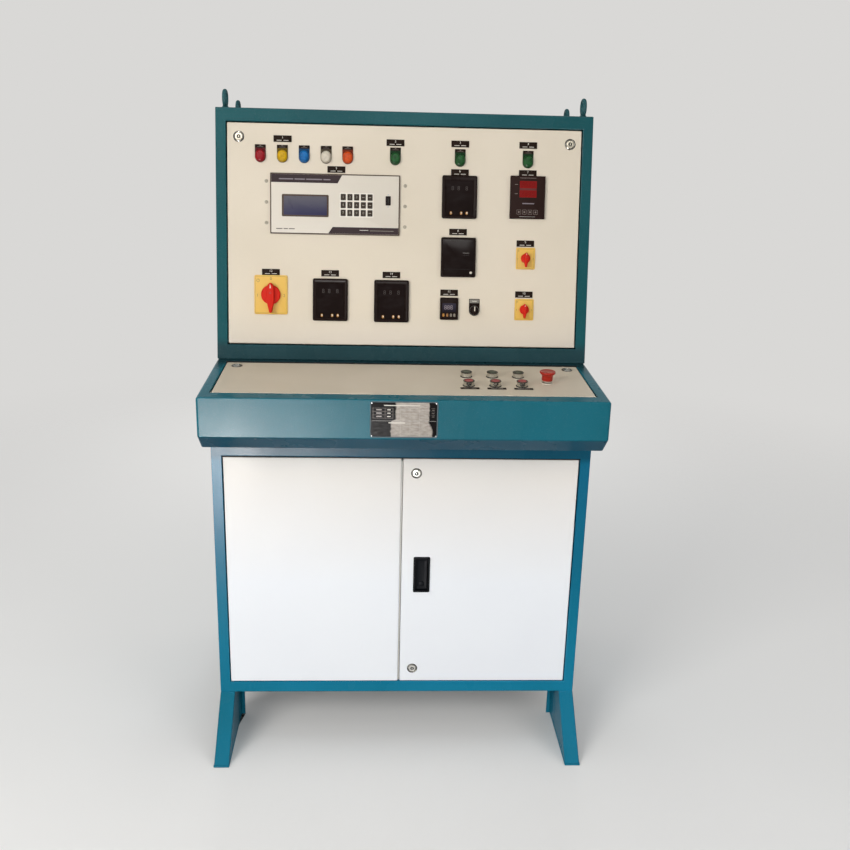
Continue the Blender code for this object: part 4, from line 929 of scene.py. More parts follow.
def make_buttons():
    """Push buttons: a chromed bezel and a contact block on the lid, and a cap that travels."""
    bezel = [
        (turned_ring([(12.9, 0.3), (13.2, 10.5), (13.4, 11.4), (11.2, 11.4), (11.2, 0.3)], 48),
         CHROME),
        (turned_ring([
            (13.3, 11), (13.8, 11.7), (14, 12.4), (13.9, 13), (13.4, 13.4), (12.7, 13.5),
            (11.9, 13.4), (11.3, 12.9), (11.2, 11),
        ], 48), RIM_NICKEL),
        (turned_ring([(14.8, 0.2), (14.8, 0.9), (14, 1.2), (13.4, 1.2), (13.4, 0.2)], 48), SEAL),
    ]
    screw = upended(cross_head(2.8, 1.2))
    block = [
        (tube(14.5, 11.2, -9, -2.4, 24), BLACK), *contact_block(28, -38, -9),
        (screw, BRASS, -8, 0, -68), (screw, BRASS, 8, 0, -68),
    ]
    bezels, blocks, strips = [], [], []
    for row, look, slot in (
        ("rear", CAP_GREEN, "green_plastic"), ("front", CAP_RED, "red_plastic"),
    ):
        for number, place in enumerate(("left", "middle", "right"), 1):
            node = f"button_{row}_{place}"
            box = Box(node, DESK)
            across, up = box.middle
            top = box.top
            bezels += set_on(DESK, bezel, across, up)
            blocks += set_on(DESK, block, across, up)
            cap = lathe([
                (10.5, box.back), (10.5, top - 2), (10.1, top - 0.8), (9.2, top - 0.1),
                (8.2, top - 0.2), (7.2, top - 0.7), (0.2, top - 0.9),
            ], 40)
            box.dress(f"{node}_cap", node, slot, [(cap, look)])
            if row == "front":
                strips += set_on(DESK, label(str(number), 11), across + 1, up - 24)
    piece("button_bezels", LID, "zinc_steel", bezels)
    piece("button_contact_blocks", LID, "black_plastic", blocks)
    piece("button_labels", LID, "black_plastic", strips)


def make_emergency_stop():
    """The emergency stop: a mushroom head and its skirt on a pale stem, in a flat collar."""
    node = "emergency_stop"
    box = Box(node, DESK)
    back, top = box.back, box.top
    head = lathe([(radius, top - drop) for radius, drop in (
        (9.8, 16), (11.8, 16), (11.8, 22.6), (12.3, 23.2), (13, 23.1), (13.4, 22.2),
        (13.6, 11.8), (14.2, 9.8), (16.6, 7.5), (18.4, 5.8), (19, 4.7), (19.1, 2.2),
        (18.7, 0.9), (17.8, 0.2), (16.4, 0), (15, 0.6), (11, 0.9), (0.3, 0.6),
    )], 56)
    stem = lathe([(9.6, back), (10, back + 0.6), (10, top - 15.5)], 40)
    box.dress("emergency_stop_head", node, "red_plastic", [(head, STOP_RED), (stem, CHROME)])
    collar = turned_ring([
        (15, 0.3), (15, 1.2), (14.5, 2), (12.6, 2.5), (11.9, 2.1), (11.9, 0.3),
    ], 48)
    parts = [
        (collar, PALE_KEY), (tube(15, 11.4, -9, -2.4, 24), BLACK), *contact_block(30, -42, -9),
    ]
    piece("emergency_stop_collar", LID, "grey_plastic", set_on(DESK, parts, *box.middle))


# Instruments on the console's door

DOOR_GAP = 0.3
FRONT_STEPS = 7


def rim(top, *rows):
    """The profile of a front that stands off the door: its foot just over the door, then
    rows of (inset, level over its top), with a shift up where a row has one."""
    return [(0, DOOR_GAP), *((inset, top + level, *shift) for inset, level, *shift in rows)]


def rear_terminals(width, height, level):
    """Two rows of brass screws on raised strips across the back of a case."""
    strip = plate(width - 8, 11, 1, level - 4, level)
    screw = upended(cross_head(2.8, 1.2, sides=20))
    spots = np.linspace(10 - width / 2, width / 2 - 10, max(3, round(width / 12)))
    parts = []
    for up in (10 - height / 2, height / 2 - 10):
        parts.append((strip, KEY, 0, up))
        parts += [(screw, BRASS, spot, up, level - 4) for spot in spots]
    return parts


CASE_STEP = 5


def case_behind(box, corner=3):
    """The part of an instrument behind the door: its case, a step smaller than its front,
    a collar that holds it and its terminals."""
    back = box.back + 0.2
    width, height = box.width - 2 * CASE_STEP, box.height - 2 * CASE_STEP
    return [
        (plate(width, height, corner, back, 2), BLACK),
        (border(width + 7, height + 7, 4, 3, -6, -2.4), GREY),
        *rear_terminals(width, height, back),
    ]


def front(box, radius, *rows, steps=5):
    """An instrument's front on its whole box, with round corners, up the rows of a rim."""
    return stack(rounded(box.width, box.height, radius, steps), rim(box.top, *rows))


def make_panel_meters():
    """Three multifunction meters: a black bezel, sloping sides and a deep smoked window."""
    for node in ("meter_upper", "meter_lower_left", "meter_lower_middle"):
        box = Box(node, CONSOLE)
        width, height, top = box.size
        bezel = front(
            box, 4.5, (0, -2.8), (0.7, -1), (2.2, 0), (4.2, 0), (10, -3, -1.8),
            (10.4, -3.6, -1.8), steps=FRONT_STEPS,
        )
        pane = stack(rounded(width - 21.2, height - 21.2, 2), [
            (0, top - 4.2, -1.8), (0, top - 3.4, -1.8), (0.3, top - 3.1, -1.8),
        ])
        key = stack(rounded(5.6, 8.2, 2.7), slab(top - 3.6, top - 2, 0.8))
        # On each amber key sits a small pale patch a little off its middle: a painted highlight.
        cap = plate(3, 4.2, 1.4, top - 2.1, top - 1.7, 0.2)
        parts = [(bezel, BLACK_GLOSS), (pane, WINDOW)]
        for share in (0.26, 0.555, 0.715):
            spot = (share - 0.5) * width
            parts.append((key, AMBER, spot, -0.372 * height))
            parts.append((cap, PALE_KEY, spot + 0.4, -0.366 * height))
        for share in (0.30, 0.47, 0.70):
            digit = figures("8", 10.5, top - 3.2)
            parts.append((digit, DIM_DIGIT, (share - 0.5) * width, 0.20 * height))
        box.detail(parts + case_behind(box))


def make_energy_meter():
    """The flat meter in the middle: a plain dark front with a fine line and a seal screw."""
    box = Box("meter_middle", CONSOLE)
    width, height, top = box.size
    bezel = front(
        box, 4, (0, -2.4), (0.6, -0.8), (1.8, 0), (3, 0), (4.2, -1.2), steps=FRONT_STEPS
    )
    line = plate(16, 0.7, 0.3, top - 0.8, top - 0.5)
    rule = plate(width - 20, 0.6, 0.3, top - 0.8, top - 0.5)
    parts = [
        (bezel, BLACK_GLOSS),
        (plate(width - 9.2, height - 9.2, 2, top - 1.6, top - 0.7, 0.3), WINDOW),
        (cross_head(3.2, 1.6), PALE_KEY, 0.365 * width, -0.385 * height, top - 0.7),
        (rule, KEY, 0, 0.415 * height), (rule, BLACK, -4, -0.30 * height),
        (line, GREY, 0.215 * width, 0.11 * height), (line, KEY, 0.215 * width, 0.05 * height),
    ]
    box.detail(parts + case_behind(box))


def make_controller():
    """The controller: a flat brown plate, two red windows, small marks and four keys."""
    box = Box("controller_upper", CONSOLE)
    width, height, top = box.size
    low, high = top - 0.2, top + 0.1
    parts = [
        (front(box, 1.2, (0, -1.2), (0.4, -0.3), (1.2, 0), (2.6, 0), (3, -0.4)), BROWN_PLATE),
        (plate(width - 6.4, height - 6.4, 0.8, top - 0.6, top - 0.1, 0.1), BROWN_PLATE),
        (plate(0.49 * width, 0.385 * height, 1, top - 0.3, top), RED_SURROUND,
         0.005 * width, 0.186 * height),
    ]
    for share in (0.205, 0.420):
        up = (0.5 - share) * height
        pane = plate(0.49 * width, 0.165 * height, 1, low, high)
        parts.append((pane, RED_WINDOW, 0.005 * width, up))
        for spot in (-0.15, -0.05, 0.05, 0.15):
            parts.append((figures("8", 10.5, high, 0.1), SEGMENT, (0.005 + spot) * width, up))
        parts.append((plate(7.5, 1.2, 0.4, low, high), DIM_PRINT, -0.335 * width, up))
    mark = plate(0.46 * width, 0.9, 0.3, low, high)
    parts.append((mark, DIM_PRINT, 0, 0.448 * height))
    for spot in (-0.245, -0.085, 0.075, 0.235):
        for shell in (border(10.5, 11.5, 1, 0.7, low, high), plate(3.6, 4.2, 1, low, high)):
            parts.append((shell, DIM_PRINT, spot * width, -0.345 * height))
    strip = plate(0.34 * width, 2.6, 1, low, high)
    parts += [
        (mark, GREY, 0, -0.452 * height), (strip, BANNER_PRINT, 0.02 * width, -0.145 * height),
    ]
    box.detail(parts + case_behind(box))


def make_timer():
    """The small timer relay: a rounded black case, a glassy band and four keys."""
    box = Box("timer_relay", CONSOLE)
    width, height, top = box.size
    bezel = front(
        box, 3.4, (0, -2.6), (0.6, -0.9), (2, 0), (3.4, 0), (4.4, -1), steps=FRONT_STEPS
    )
    parts = [
        (bezel, BLACK_GLOSS),
        (plate(width - 9.2, height - 9.2, 2, top - 1.4, top - 0.9, 0.2), BLACK_GLOSS),
        (plate(width - 12, 0.40 * height, 1.5, top - 1.1, top - 0.6, 0.2), TIMER_GLASS,
         0, 0.045 * height),
    ]
    key = plate(5.2, 8.2, 1.8, top - 1.4, top + 0.1, 0.6)
    for share, look in ((0.19, AMBER), (0.40, DULL_AMBER), (0.60, DULL_KEY), (0.79, DULL_KEY)):
        parts.append((key, look, (share - 0.5) * width, -0.285 * height))
    for share in (0.30, 0.46, 0.62):
        digit = figures("8", 11, top - 0.6, 0.1)
        parts.append((digit, BANNER_PRINT, (share - 0.5) * width, 0.05 * height))
    box.detail(parts + case_behind(box, 2))


def make_analyser():
    """The ratio analyser: a dark edge round a printed face with a display and 15 keys."""
    box = Box("ratio_analyser", CONSOLE)
    width, height, top = box.size
    base = top - 0.1
    ink = base + 0.15
    half_w, half_h = width / 2 - 3, height / 2 - 3
    upper = [(-half_w, half_h - 20), (6, half_h - 20), (17, half_h), (-half_w, half_h)]
    lower = [(-17, -half_h), (half_w, -half_h), (half_w, 16 - half_h), (-6, 16 - half_h)]
    banner = [(0, base - 0.2), (0, ink)]
    parts = [
        (front(box, 1.5, (0, -0.8), (0.3, -0.2), (0.8, 0), (2.4, 0), (2.7, -0.6)), PLATE_EDGE),
        (plate(width - 5.6, height - 5.6, 0.8, top - 0.7, base, 0.1), MEMBRANE),
        (stack(polygon(upper), banner), BANNER), (stack(polygon(lower), banner), BANNER),
    ]

    def ruled(length, thick, across, up, look=PRINT):
        rule = plate(length, thick, thick / 3, ink - 0.1, ink + 0.08)
        parts.append((rule, look, across, up))

    for length, across in ((36, -123), (26, -89), (40, -53), (18, -21)):
        ruled(length, 3, across, half_h - 11.5, BANNER_PRINT)
    ruled(22, 1.4, half_w - 87, 9 - half_h)
    ruled(60, 1, half_w - 42, 8 - half_h, KEY_SIGN)
    ruled(152, 0.8, half_w - 77, 18.2 - half_h)
    for length, across in ((16, 20), (11, 36), (15, 51)):
        ruled(length, 2.2, across - half_w, 9.5 - half_h, RULE_PRINT)

    lcd = (-75, -4.5)
    keypad = (54, -1)
    parts += [
        (plate(117.6, 55.2, 3, base - 0.3, base + 0.6, 0.3), PLATE_EDGE, *lcd),
        (plate(108.2, 46.8, 1.2, base + 0.4, base + 0.8, 0.2), LCD, *lcd),
        (plate(85, 61, 2, base - 0.2, ink), KEY_GROUND, *keypad),
    ]
    key = stack(rounded(12.8, 15.8, 1.2), [
        (0, base), (0, ink + 0.4), (0.6, ink + 0.8), (2.2, ink + 1),
    ])
    marks = ("1", "2", "3", "", "", "4", "5", "6", "", "", "7", "8", "9", "0", "")
    spots = [(a, b) for b in (19.6, 0, -19.6) for a in np.linspace(-33.8, 33.8, 5)]
    for mark, (a, b) in zip(marks, spots):
        if mark:
            sign = figures(mark, 6.2, ink + 0.9)
        else:
            sign = plate(6.2, 1.4, 0.4, ink + 0.9, ink + 1.05)
        spot = (keypad[0] + a, keypad[1] + b)
        parts += [(key, KEY_TOP, *spot), (sign, KEY_SIGN, *spot)]

    socket = (133.5, 11.5)
    shroud = stack(rounded(13, 23, 1.2), [
        (0, base - 0.3), (0, top + 1.4), (0.4, top + 1.8), (2.2, top + 1.8), (2.4, top + 0.3),
    ])
    tongue = plate(3, 13, 0.4, top + 0.2, top + 1.4)
    parts += [(shroud, BLACK_GLOSS, *socket), (tongue, BLACK, *socket)]
    screw = cross_head(1.7, 0.9, 0.3, 1, 0.3, 20)
    for up in (-15, 15):
        parts.append((screw, ZINC, socket[0], socket[1] + up, ink))
    box.detail(parts + case_behind(box), "grey_plastic")


# Lamps, switches and the selector

LENS_STRETCH = 5.2
HOLDER_STEPS = 9
LENS_STEPS = 13


def tombstone(width, height, *rows):
    """A holder with nearly square lower corners and a round head, up rows of (inset, level)
    from just over the door."""
    radii = (1.4, 1.4, width / 2, width / 2)
    return stack(rounded(width, height, radii, HOLDER_STEPS), [(0, DOOR_GAP), *rows])


def make_lamps():
    """Signal lamps: a dark tombstone holder, a label across its top and an oval low lens."""
    screw = upended(cross_head(2.4, 1, sides=20))
    sides = [f"green_{side}" for side in ("left", "middle", "right")]
    for name in ["red", "yellow", "blue", "white", "orange", *sides]:
        node = f"lamp_{name}"
        colour = name.split("_")[0]
        clear, shade = LAMP_LOOKS[colour]
        box = Box(node, CONSOLE)
        radius, back, top = box.width / 2, box.back, box.top
        wide = radius - 1.1
        dome = stack(rounded(2 * wide, 2 * wide + LENS_STRETCH, wide, LENS_STEPS), [
            (0, 1), (0, 3.4), (0.3, 4.2), (0.7, 5), (0.9, top - 4), (1.6, top - 2.2),
            (3, top - 1), (4.2, top - 0.4), (4.4, top - 0.6), (4.6, top - 0.3), (8, top),
            (wide - 0.3, top + 0.1),
        ])
        holder = tombstone(box.width, box.height, (0, 1.8), (0.5, 2.4), (1, 2.4))
        parts = [
            (holder, shade, 0, box.height / 2 - radius),
            (plate(box.width - 0.6, 8, 1, 2, 2.8, 0.2), LABEL, 0, 25.7),
            (plate(4, 1.6, 0.4, 2.7, 3), DIM_PRINT, 0, 27.6),
            (plate(15, 1, 0.3, 2.7, 3), RULE_PRINT, 0, 24.4),
            (dome, clear, 0, LENS_STRETCH / 2),
            (lathe([(10, back), (10.5, back + 0.6), (10.5, 1)]), BLACK),
            (tube(14, 10.4, -8.5, -2.4, 12), BLACK),
            (screw, BRASS, -5.2, 0, back), (screw, BRASS, 5.2, 0, back),
        ]
        placed = set_on(CONSOLE, parts, box.middle[0], box.foot + radius)
        piece(f"{node}_detail", DOOR, f"lens_{colour}", placed, [node])


# The right halves of the knobs' ridges, from head to foot, in shares of the knob's radius
GRIP_HALF = (
    (0.05, 1.22), (0.16, 1.14), (0.30, 0.95), (0.37, 0.60), (0.40, 0), (0.39, -0.60),
    (0.33, -0.95), (0.22, -1.40), (0.13, -1.80), (0.04, -1.86),
)
SELECTOR_HALF = (
    (0.12, 1.02), (0.30, 0.90), (0.36, 0.50), (0.36, -0.50), (0.30, -0.88), (0.12, -1.02),
)


def ridge(radius, half, low, high, soft):
    """A knob's ridge: a softened outline from its right half, rounded on top."""
    right = np.array(half)[::-1] * radius
    outline = np.concatenate([right, right[::-1] * (-1, 1)])
    return stack(polygon(softened(outline)), slab(low, high, soft, 4))


LARGE_SWITCH = 84


def make_switch(node, figure_height, case, dials):
    """A rotary switch: a yellow plate with a fine border and numbers, and a red knob."""
    box = Box(node, CONSOLE)
    width, height, top = box.size
    knob = f"{node}_knob"
    knob_box = Box(knob, CONSOLE)
    radius, knob_top = knob_box.width / 2, knob_box.top
    share = width / LARGE_SWITCH
    spot = (-0.385 * width, 0.36 * height)
    bar = plate(0.8, 4 * share, 0.3, top - 0.1, top + 0.1)
    parts = [
        (front(box, 3.5 * share + 1, (0, -1.2), (0.5, -0.2), (1.2, 0)), YELLOW),
        (border(width - 6, height - 6, 2, 0.6, top - 0.2, top + 0.1), DARK_PRINT),
        (tube(4.2 * share, 3.3 * share, top - 0.1, top + 0.1, 28), DARK_PRINT, *spot),
        (bar, DARK_PRINT, spot[0], spot[1] + 1.2 * share),
    ]
    for mark, (a, b) in zip(dials, ((-0.400, -0.02), (0, 0.405), (0.400, -0.02))):
        if mark:
            sign = figures(mark, figure_height, top - 0.1, 0.2)
            parts.append((sign, DARK_PRINT, a * width, b * height))
    back = box.back + 0.2
    parts += [(plate(case, case, 3, back, 1), BLACK), *rear_terminals(case, case, back)]
    box.detail(parts, "yellow_plastic")
    base = top + 0.4
    skirt = lathe([
        (radius, base), (radius, base + 4), (radius - 0.4, base + 5.8), (radius - 1.6, base + 7.2),
        (radius - 3.4, base + 7.8), (radius * 0.5, base + 8.1), (0.3, base + 8.2),
    ], 56)
    soft = 2.2 * share + 0.6
    pointer = polygon([
        (-0.065 * radius, 0.66 * radius), (0.065 * radius, 0.66 * radius),
        (0.02 * radius, 1.06 * radius), (-0.02 * radius, 1.06 * radius),
    ])
    cap = tube(0.11 * radius, 0.07 * radius, knob_top - 0.3, knob_top + 0.2, 20)
    parts = [
        (skirt, RED), (ridge(radius, GRIP_HALF, base + 3, knob_top, soft), RED),
        (lathe([(radius * 0.18, knob_box.back), (radius * 0.18, base + 2)], 16), ZINC),
        (stack(pointer, [(0, knob_top - soft), (0, knob_top + 0.15)]), PALE_KEY),
        (cap, CAP_RED, 0, 0.18 * radius),
    ]
    placed = set_on(CONSOLE, parts, *box.middle)
    piece(f"{knob}_detail", knob, "red_plastic", placed, [knob])


def make_selector():
    """The small selector: a tombstone holder with a grey legend, and a black knob."""
    node = "selector_knob"
    box = Box(node, CONSOLE)
    top = box.top
    radius = box.width / 2 - 0.3
    wide, tall = 27, 43.5
    lift = tall / 2 - wide / 2
    legend_up = lift + tall / 2 - 6
    collar = turned_ring([
        (12.9, 2), (12.9, 4.8), (12.4, 5.6), (11.6, 5.6), (11.4, 4.8), (11.4, 2),
    ])
    parts = [
        (tombstone(wide, tall, (0, 2), (0.6, 2.6), (1.4, 2.6)), BLACK_GLOSS, 0, lift),
        (plate(wide - 2.4, 9.5, 0.6, 2.4, 3.1, 0.2), LEGEND, 0, legend_up),
        (plate(12, 1.2, 0.4, 3, 3.3), PRINT, 0, legend_up),
        (collar, RIM_NICKEL), (tube(14.2, 11.3, -8.5, -2.4, 12), BLACK),
        *contact_block(30, -34, -8.6, 28),
    ]
    piece("selector_holder", DOOR, "black_plastic", set_on(CONSOLE, parts, *box.middle))
    body = lathe([
        (radius, box.back), (radius, 7), (radius - 0.6, 8), (radius - 1.9, 8.4), (0.3, 8.5),
    ], 40)
    parts = [
        (body, BLACK_GLOSS), (ridge(radius, SELECTOR_HALF, 4, top, 1.2), BLACK_GLOSS),
        (plate(2.4, 11.5, 0.8, top - 0.4, top + 0.2), PALE_KEY, 0, 4.6),
    ]
    box.dress("selector_knob_detail", node, "black_plastic", parts)


# Where the engraved labels and the analyser's screws sit, across and up from the console's base
LABEL_PLACES = (
    (-308, 552.7), (-25.7, 549.4), (137.8, 550.3), (310.3, 550.9), (-173.5, 480.5),
    (138.3, 480), (311, 481.6), (136.5, 331.8), (310, 306), (310, 176.5),
    (116.7, 178), (-338, 222.5), (-188, 222), (-32, 220.4),
)
SCREW_PLACES = (
    (-348.7, 448.7), (-348.7, 397), (-348.7, 345.7), (0.5, 444), (0.5, 393), (0.5, 341.6),
)


def make_panel_trim():
    """The engraved labels, and the analyser's screws with their washers."""
    labels = []
    for number, spot in enumerate(LABEL_PLACES, 1):
        labels += set_on(CONSOLE, label(str(number)), *spot)
    piece("panel_labels", DOOR, "black_plastic", labels)
    washer = turned_ring([(4.6, 0.2), (4.6, 0.7), (4.1, 0.9), (2.8, 0.9), (2.8, 0.2)], 28)
    screw = [
        (washer, DULL_SCREW), (cross_head(3.4, 1.7), DULL_SCREW, 0, 0, 0.8),
        (lathe([(1.8, -12), (1.8, 1)], 12), ZINC),
    ]
    screws = [part for spot in SCREW_PLACES for part in set_on(CONSOLE, screw, *spot)]
    piece("analyser_screws", DOOR, "zinc_steel", screws)


# Rating plate


def worn_enamel():
    """The rating plate's face: black enamel, worn through to pale metal over its right side.

    The bare share is 1 between two edges that run down the plate, moved a little by noise.
    Over it, faint lines of the old table cross the bare metal at a constant pitch.
    """
    made = Finish("worn_enamel", 0.38, sheen={GLOSS: 0.03})

    def lines(axis, per_metre, low, high):
        stripes = made.math("FRACT", made.math("MULTIPLY", axis, per_metre))
        off = made.math("ABSOLUTE", made.math("SUBTRACT", stripes, 0.5))
        return made.band(off, low, high, 1.0, 0.0)

    ragged = made.math("MULTIPLY", made.math("SUBTRACT", made.noise(120, 4), 0.5), 0.008)
    place = made.math("ADD", made.x, ragged)
    left_edge = made.band(made.z, 0.946, 0.949, -0.0345, -0.0235)
    right_edge = made.band(made.z, 0.925, 0.942, 0.0640, 0.0560)
    from_left = made.band(made.math("SUBTRACT", place, left_edge), 0.0, 0.0035)
    to_right = made.band(made.math("SUBTRACT", right_edge, place), 0.0, 0.0030)
    bare = made.math("MULTIPLY", from_left, to_right)
    streaks = made.noise(230, 5, (0.35, 1.0, 1.0))
    pale = made.mix(made.band(streaks, 0.3, 0.7), linear("978d84"), linear("bcb3a9"))
    grid = made.math(
        "MAXIMUM", lines(made.z, 125.0, 0.03, 0.10), lines(made.x, 46.0, 0.01, 0.05)
    )
    faint = made.math("MULTIPLY", grid, made.band(made.noise(70, 3), 0.40, 0.70, 0.05, 0.45))
    pale = made.mix(faint, pale, linear("d8d0c6"))
    enamel = made.mix(made.noise(60, 3), linear("0c0a09"), linear("171314"))
    colour = made.mix(bare, enamel, pale)
    rough = made.band(streaks, 0.3, 0.7, 0.34, 0.52)
    return made.finish(colour, rough, made.math("SUBTRACT", streaks, bare), 0.00004)


def make_rating_plate():
    """The rating plate on the desk's front: a metal edge, a worn field and a ruled table."""
    width, height = 156, 86.8
    edge = stack(rounded(width, height, 6), [
        (0, 0.2), (0, 0.8), (0.3, 1.2), (2.2, 1.2), (2.5, 0.8),
    ])
    field = plate(width - 5.2, height - 5.2, 4, 0.6, 1, 0.1)
    parts = [(edge, PLATE_RIM), (field, worn_enamel())]

    def ruled(across, up, length, thick, look=PRINT):
        rule = plate(length, thick, min(length, thick) / 3, 0.9, 1.1)
        parts.append((rule, look, across, up))

    ruled(-5, 33.8, 82, 2.2)
    for up in (27.5, 19.5, 11.5, 3.5):
        ruled(-49, up, 48, 0.5, DIM_PRINT)
    for across in (-71, -43.5, -25.5):
        ruled(across, 15.5, 0.6, 24, DIM_PRINT)
    for up in (23.5, 15.5, 7.5):
        ruled(-57.5, up, 12.5, 2.8, DIM_PRINT)
        ruled(-35, up, 8, 1.8)
        ruled(66.5, up, 6, 0.9, DIM_PRINT)
        ruled(66.5, up + 4, 8.5, 0.4, DIM_PRINT)
    ruled(0, -3, 148, 0.6, GREY)
    ruled(-16.5, -7.5, 38, 2.6)
    rivet = lathe([(1.6, 0.8), (1.5, 1.4), (1, 1.8), (0.2, 1.9)], 16)
    for side in (-1, 1):
        for end in (-1, 1):
            parts.append((rivet, ZINC, side * (width / 2 - 4.2), end * (height / 2 - 4.2)))
    piece("rating_plate", STAND, "black_plastic", set_on(FASCIA, parts, -3, 949))


# Equipment inside the cabinet


def lugs(screw, spots, up, level):
    """Terminal screws in a lower and an upper row at each spot."""
    return [(screw, BRASS, spot, end * up, level) for spot in spots for end in (-1, 1)]


def make_breaker():
    """The main breaker: a stepped black case with its toggle, a label and six terminals."""
    box = Box("main_breaker", INNER_PLATE)
    deep = box.top - 18
    box.dress("main_breaker_detail", STAND, "black_plastic", [
        (plate(105, 161, 3, 0.3, deep - 20, 1), BLACK),
        (plate(105, 110, 3, deep - 21, deep, 2), BLACK),
        (plate(34, 46, 2, deep - 1, deep + 3, 1), KEY),
        (plate(16, 20, 3, deep, box.top, 3), GREY),
        (plate(40, 12, 1, deep - 1, deep + 0.4), PRINT, 0, -40),
        *lugs(cross_head(6.5, 3), (-34, 0, 34), 68, deep - 20),
    ])


def make_contactor():
    """The contactor: a stepped case with its armature's window and eight terminals."""
    box = Box("contactor", INNER_PLATE)
    top = box.top
    deep = top - 20
    box.dress("contactor_detail", STAND, "grey_plastic", [
        (plate(75, 105, 2, 0.3, deep - 25, 1), GREY), (plate(75, 70, 2, deep - 26, deep, 1.5), KEY),
        (plate(45, 60, 3, deep - 1, top, 2), BLACK),
        (plate(18, 10, 1, top - 1, top + 0.6), GREY, 0, 12),
        *lugs(cross_head(4.2, 2), (-24, -8, 8, 24), 43, deep - 25),
    ])


def make_terminal_strip():
    """The terminal strip: 24 stepped blocks on a rail, each with two screws."""
    box = Box("terminal_strip", INNER_PLATE)
    top, count = box.top, 24
    pitch = box.width / count
    block = plate(pitch - 0.8, 50, 1, 6, top - 8, 1)
    raised = plate(pitch - 0.8, 26, 1, top - 9, top, 1)
    screw = cross_head(4, 1.8, sides=20)
    parts = [(plate(436, 35, 1, 0.3, 8), ZINC)]
    for number in range(count):
        spot = (number - (count - 1) / 2) * pitch
        parts += [(block, GREY, spot), (raised, GREY, spot), *lugs(screw, (spot,), 19, top - 8)]
    box.dress("terminal_strip_detail", STAND, "grey_plastic", parts)


def make_ducts():
    """Three slotted wiring ducts across the mounting plate, and the plate's four bolts."""
    box = Box("mounting_plate", INNER_PLATE)
    trunk = plate(820, 40, 1, 0.2, 50, 1)
    lid = plate(820, 43, 2, 49, 54, 1.5)
    slot = plate(4.5, 41.2, 1, 10, 47)
    parts = []
    for up in (box.head - 35, box.middle[1] - 55, box.foot + 35):
        parts += [(trunk, GREY, 0, up), (lid, GREY, 0, up)]
        parts += [(slot, KEY, across, up) for across in np.arange(-395, 396, 12.5)]
    bolt = nut(13, (0, 0), (0, 5.5), (1, 6.2))
    for side in (-1, 1):
        for end in (box.foot + 12, box.head - 10):
            parts.append((bolt, ZINC, side * 440, end))
    piece("wiring_ducts", STAND, "grey_plastic", set_on(INNER_PLATE, parts))


# Camera, light and floor, in metres

CAMERA_PLACE = (-0.0644, -2.5964, 1.602)
CAMERA_YAW = math.radians(2.92)
CAMERA_PITCH = math.radians(17.14)
CAMERA_ROLL = math.radians(1.47)
FOCAL_PIXELS = 982.8
IMAGE_PIXELS = 850
SENSOR = 36.0


def make_camera():
    """The camera at the photograph's place, turned right, down and then round its own axis."""
    turn = Matrix.Rotation(-CAMERA_YAW, 4, "Z")
    turn @= Matrix.Rotation(math.pi / 2 - CAMERA_PITCH, 4, "X")
    turn @= Matrix.Rotation(CAMERA_ROLL, 4, "Z")
    data = bpy.data.cameras.new("camera")
    data.sensor_width = SENSOR
    data.lens = FOCAL_PIXELS / IMAGE_PIXELS * SENSOR
    data.clip_start = 0.05
    data.clip_end = 60
    camera = bpy.data.objects.new("camera", data)
    camera.matrix_world = Matrix.Translation(CAMERA_PLACE) @ turn
    bpy.context.scene.collection.objects.link(camera)
    bpy.context.scene.camera = camera


# Each lamp's name, place, target, size, power, colour and the kinds of ray that see it
DIFFUSE, GLOSSY = ("diffuse",), ("glossy",)
BOTH = DIFFUSE + GLOSSY
STUDIO_LAMPS = (
    ("key", (-2.4, -3.2, 2.2), (0, -0.1, 0.8), (2.0, 2.0), 94, (1.0, 0.98, 0.95), BOTH),
    ("fill", (2.8, -3.0, 1.9), (0, -0.1, 0.7), (2.2, 2.0), 30, (0.98, 0.985, 1.0), BOTH),
    ("rear", (0.0, 3.4, 2.2), (0, 0, 1.0), (2.4, 1.6), 46, (1.0, 1.0, 1.0), DIFFUSE),
    ("front", (-0.2, -4.2, 0.4), (0, -0.3, 0.4), (2.4, 0.8), 36, (0.93, 0.97, 1.0), DIFFUSE),
    ("low", (-0.84, -2.38, 0.03), (-0.84, -2.28, 1.0), (0.6, 0.96), 490, (1.0, 0.98, 0.97),
     GLOSSY),
    ("low_middle", (-0.29, -2.82, 0.03), (-0.29, -2.82, 1.0), (0.5, 0.36), 75,
     (1.0, 0.98, 0.97), GLOSSY),
    ("high", (-0.3, -3.3, 3.0), (0, -0.1, 1.6), (2.2, 0.5), 40, (1.0, 0.98, 0.95), GLOSSY),
)


def make_studio_lamp(name, place, target, size, power, colour, seen_in):
    """A soft lamp at a place, turned towards a target. Rays of the kinds that it is not seen
    in pass it by."""
    data = bpy.data.lights.new(name, "AREA")
    data.shape = "RECTANGLE"
    data.size, data.size_y = size
    data.energy = power
    data.color = colour
    lamp = bpy.data.objects.new(name, data)
    lamp.location = place
    aim = Vector(target) - Vector(place)
    lamp.rotation_euler = aim.to_track_quat("-Z", "Y").to_euler()
    lamp.visible_camera = False
    lamp.visible_diffuse = "diffuse" in seen_in
    lamp.visible_glossy = "glossy" in seen_in
    bpy.context.scene.collection.objects.link(lamp)


BACKDROP = "d9d8d6"
FLOOR_REACH = 9.0


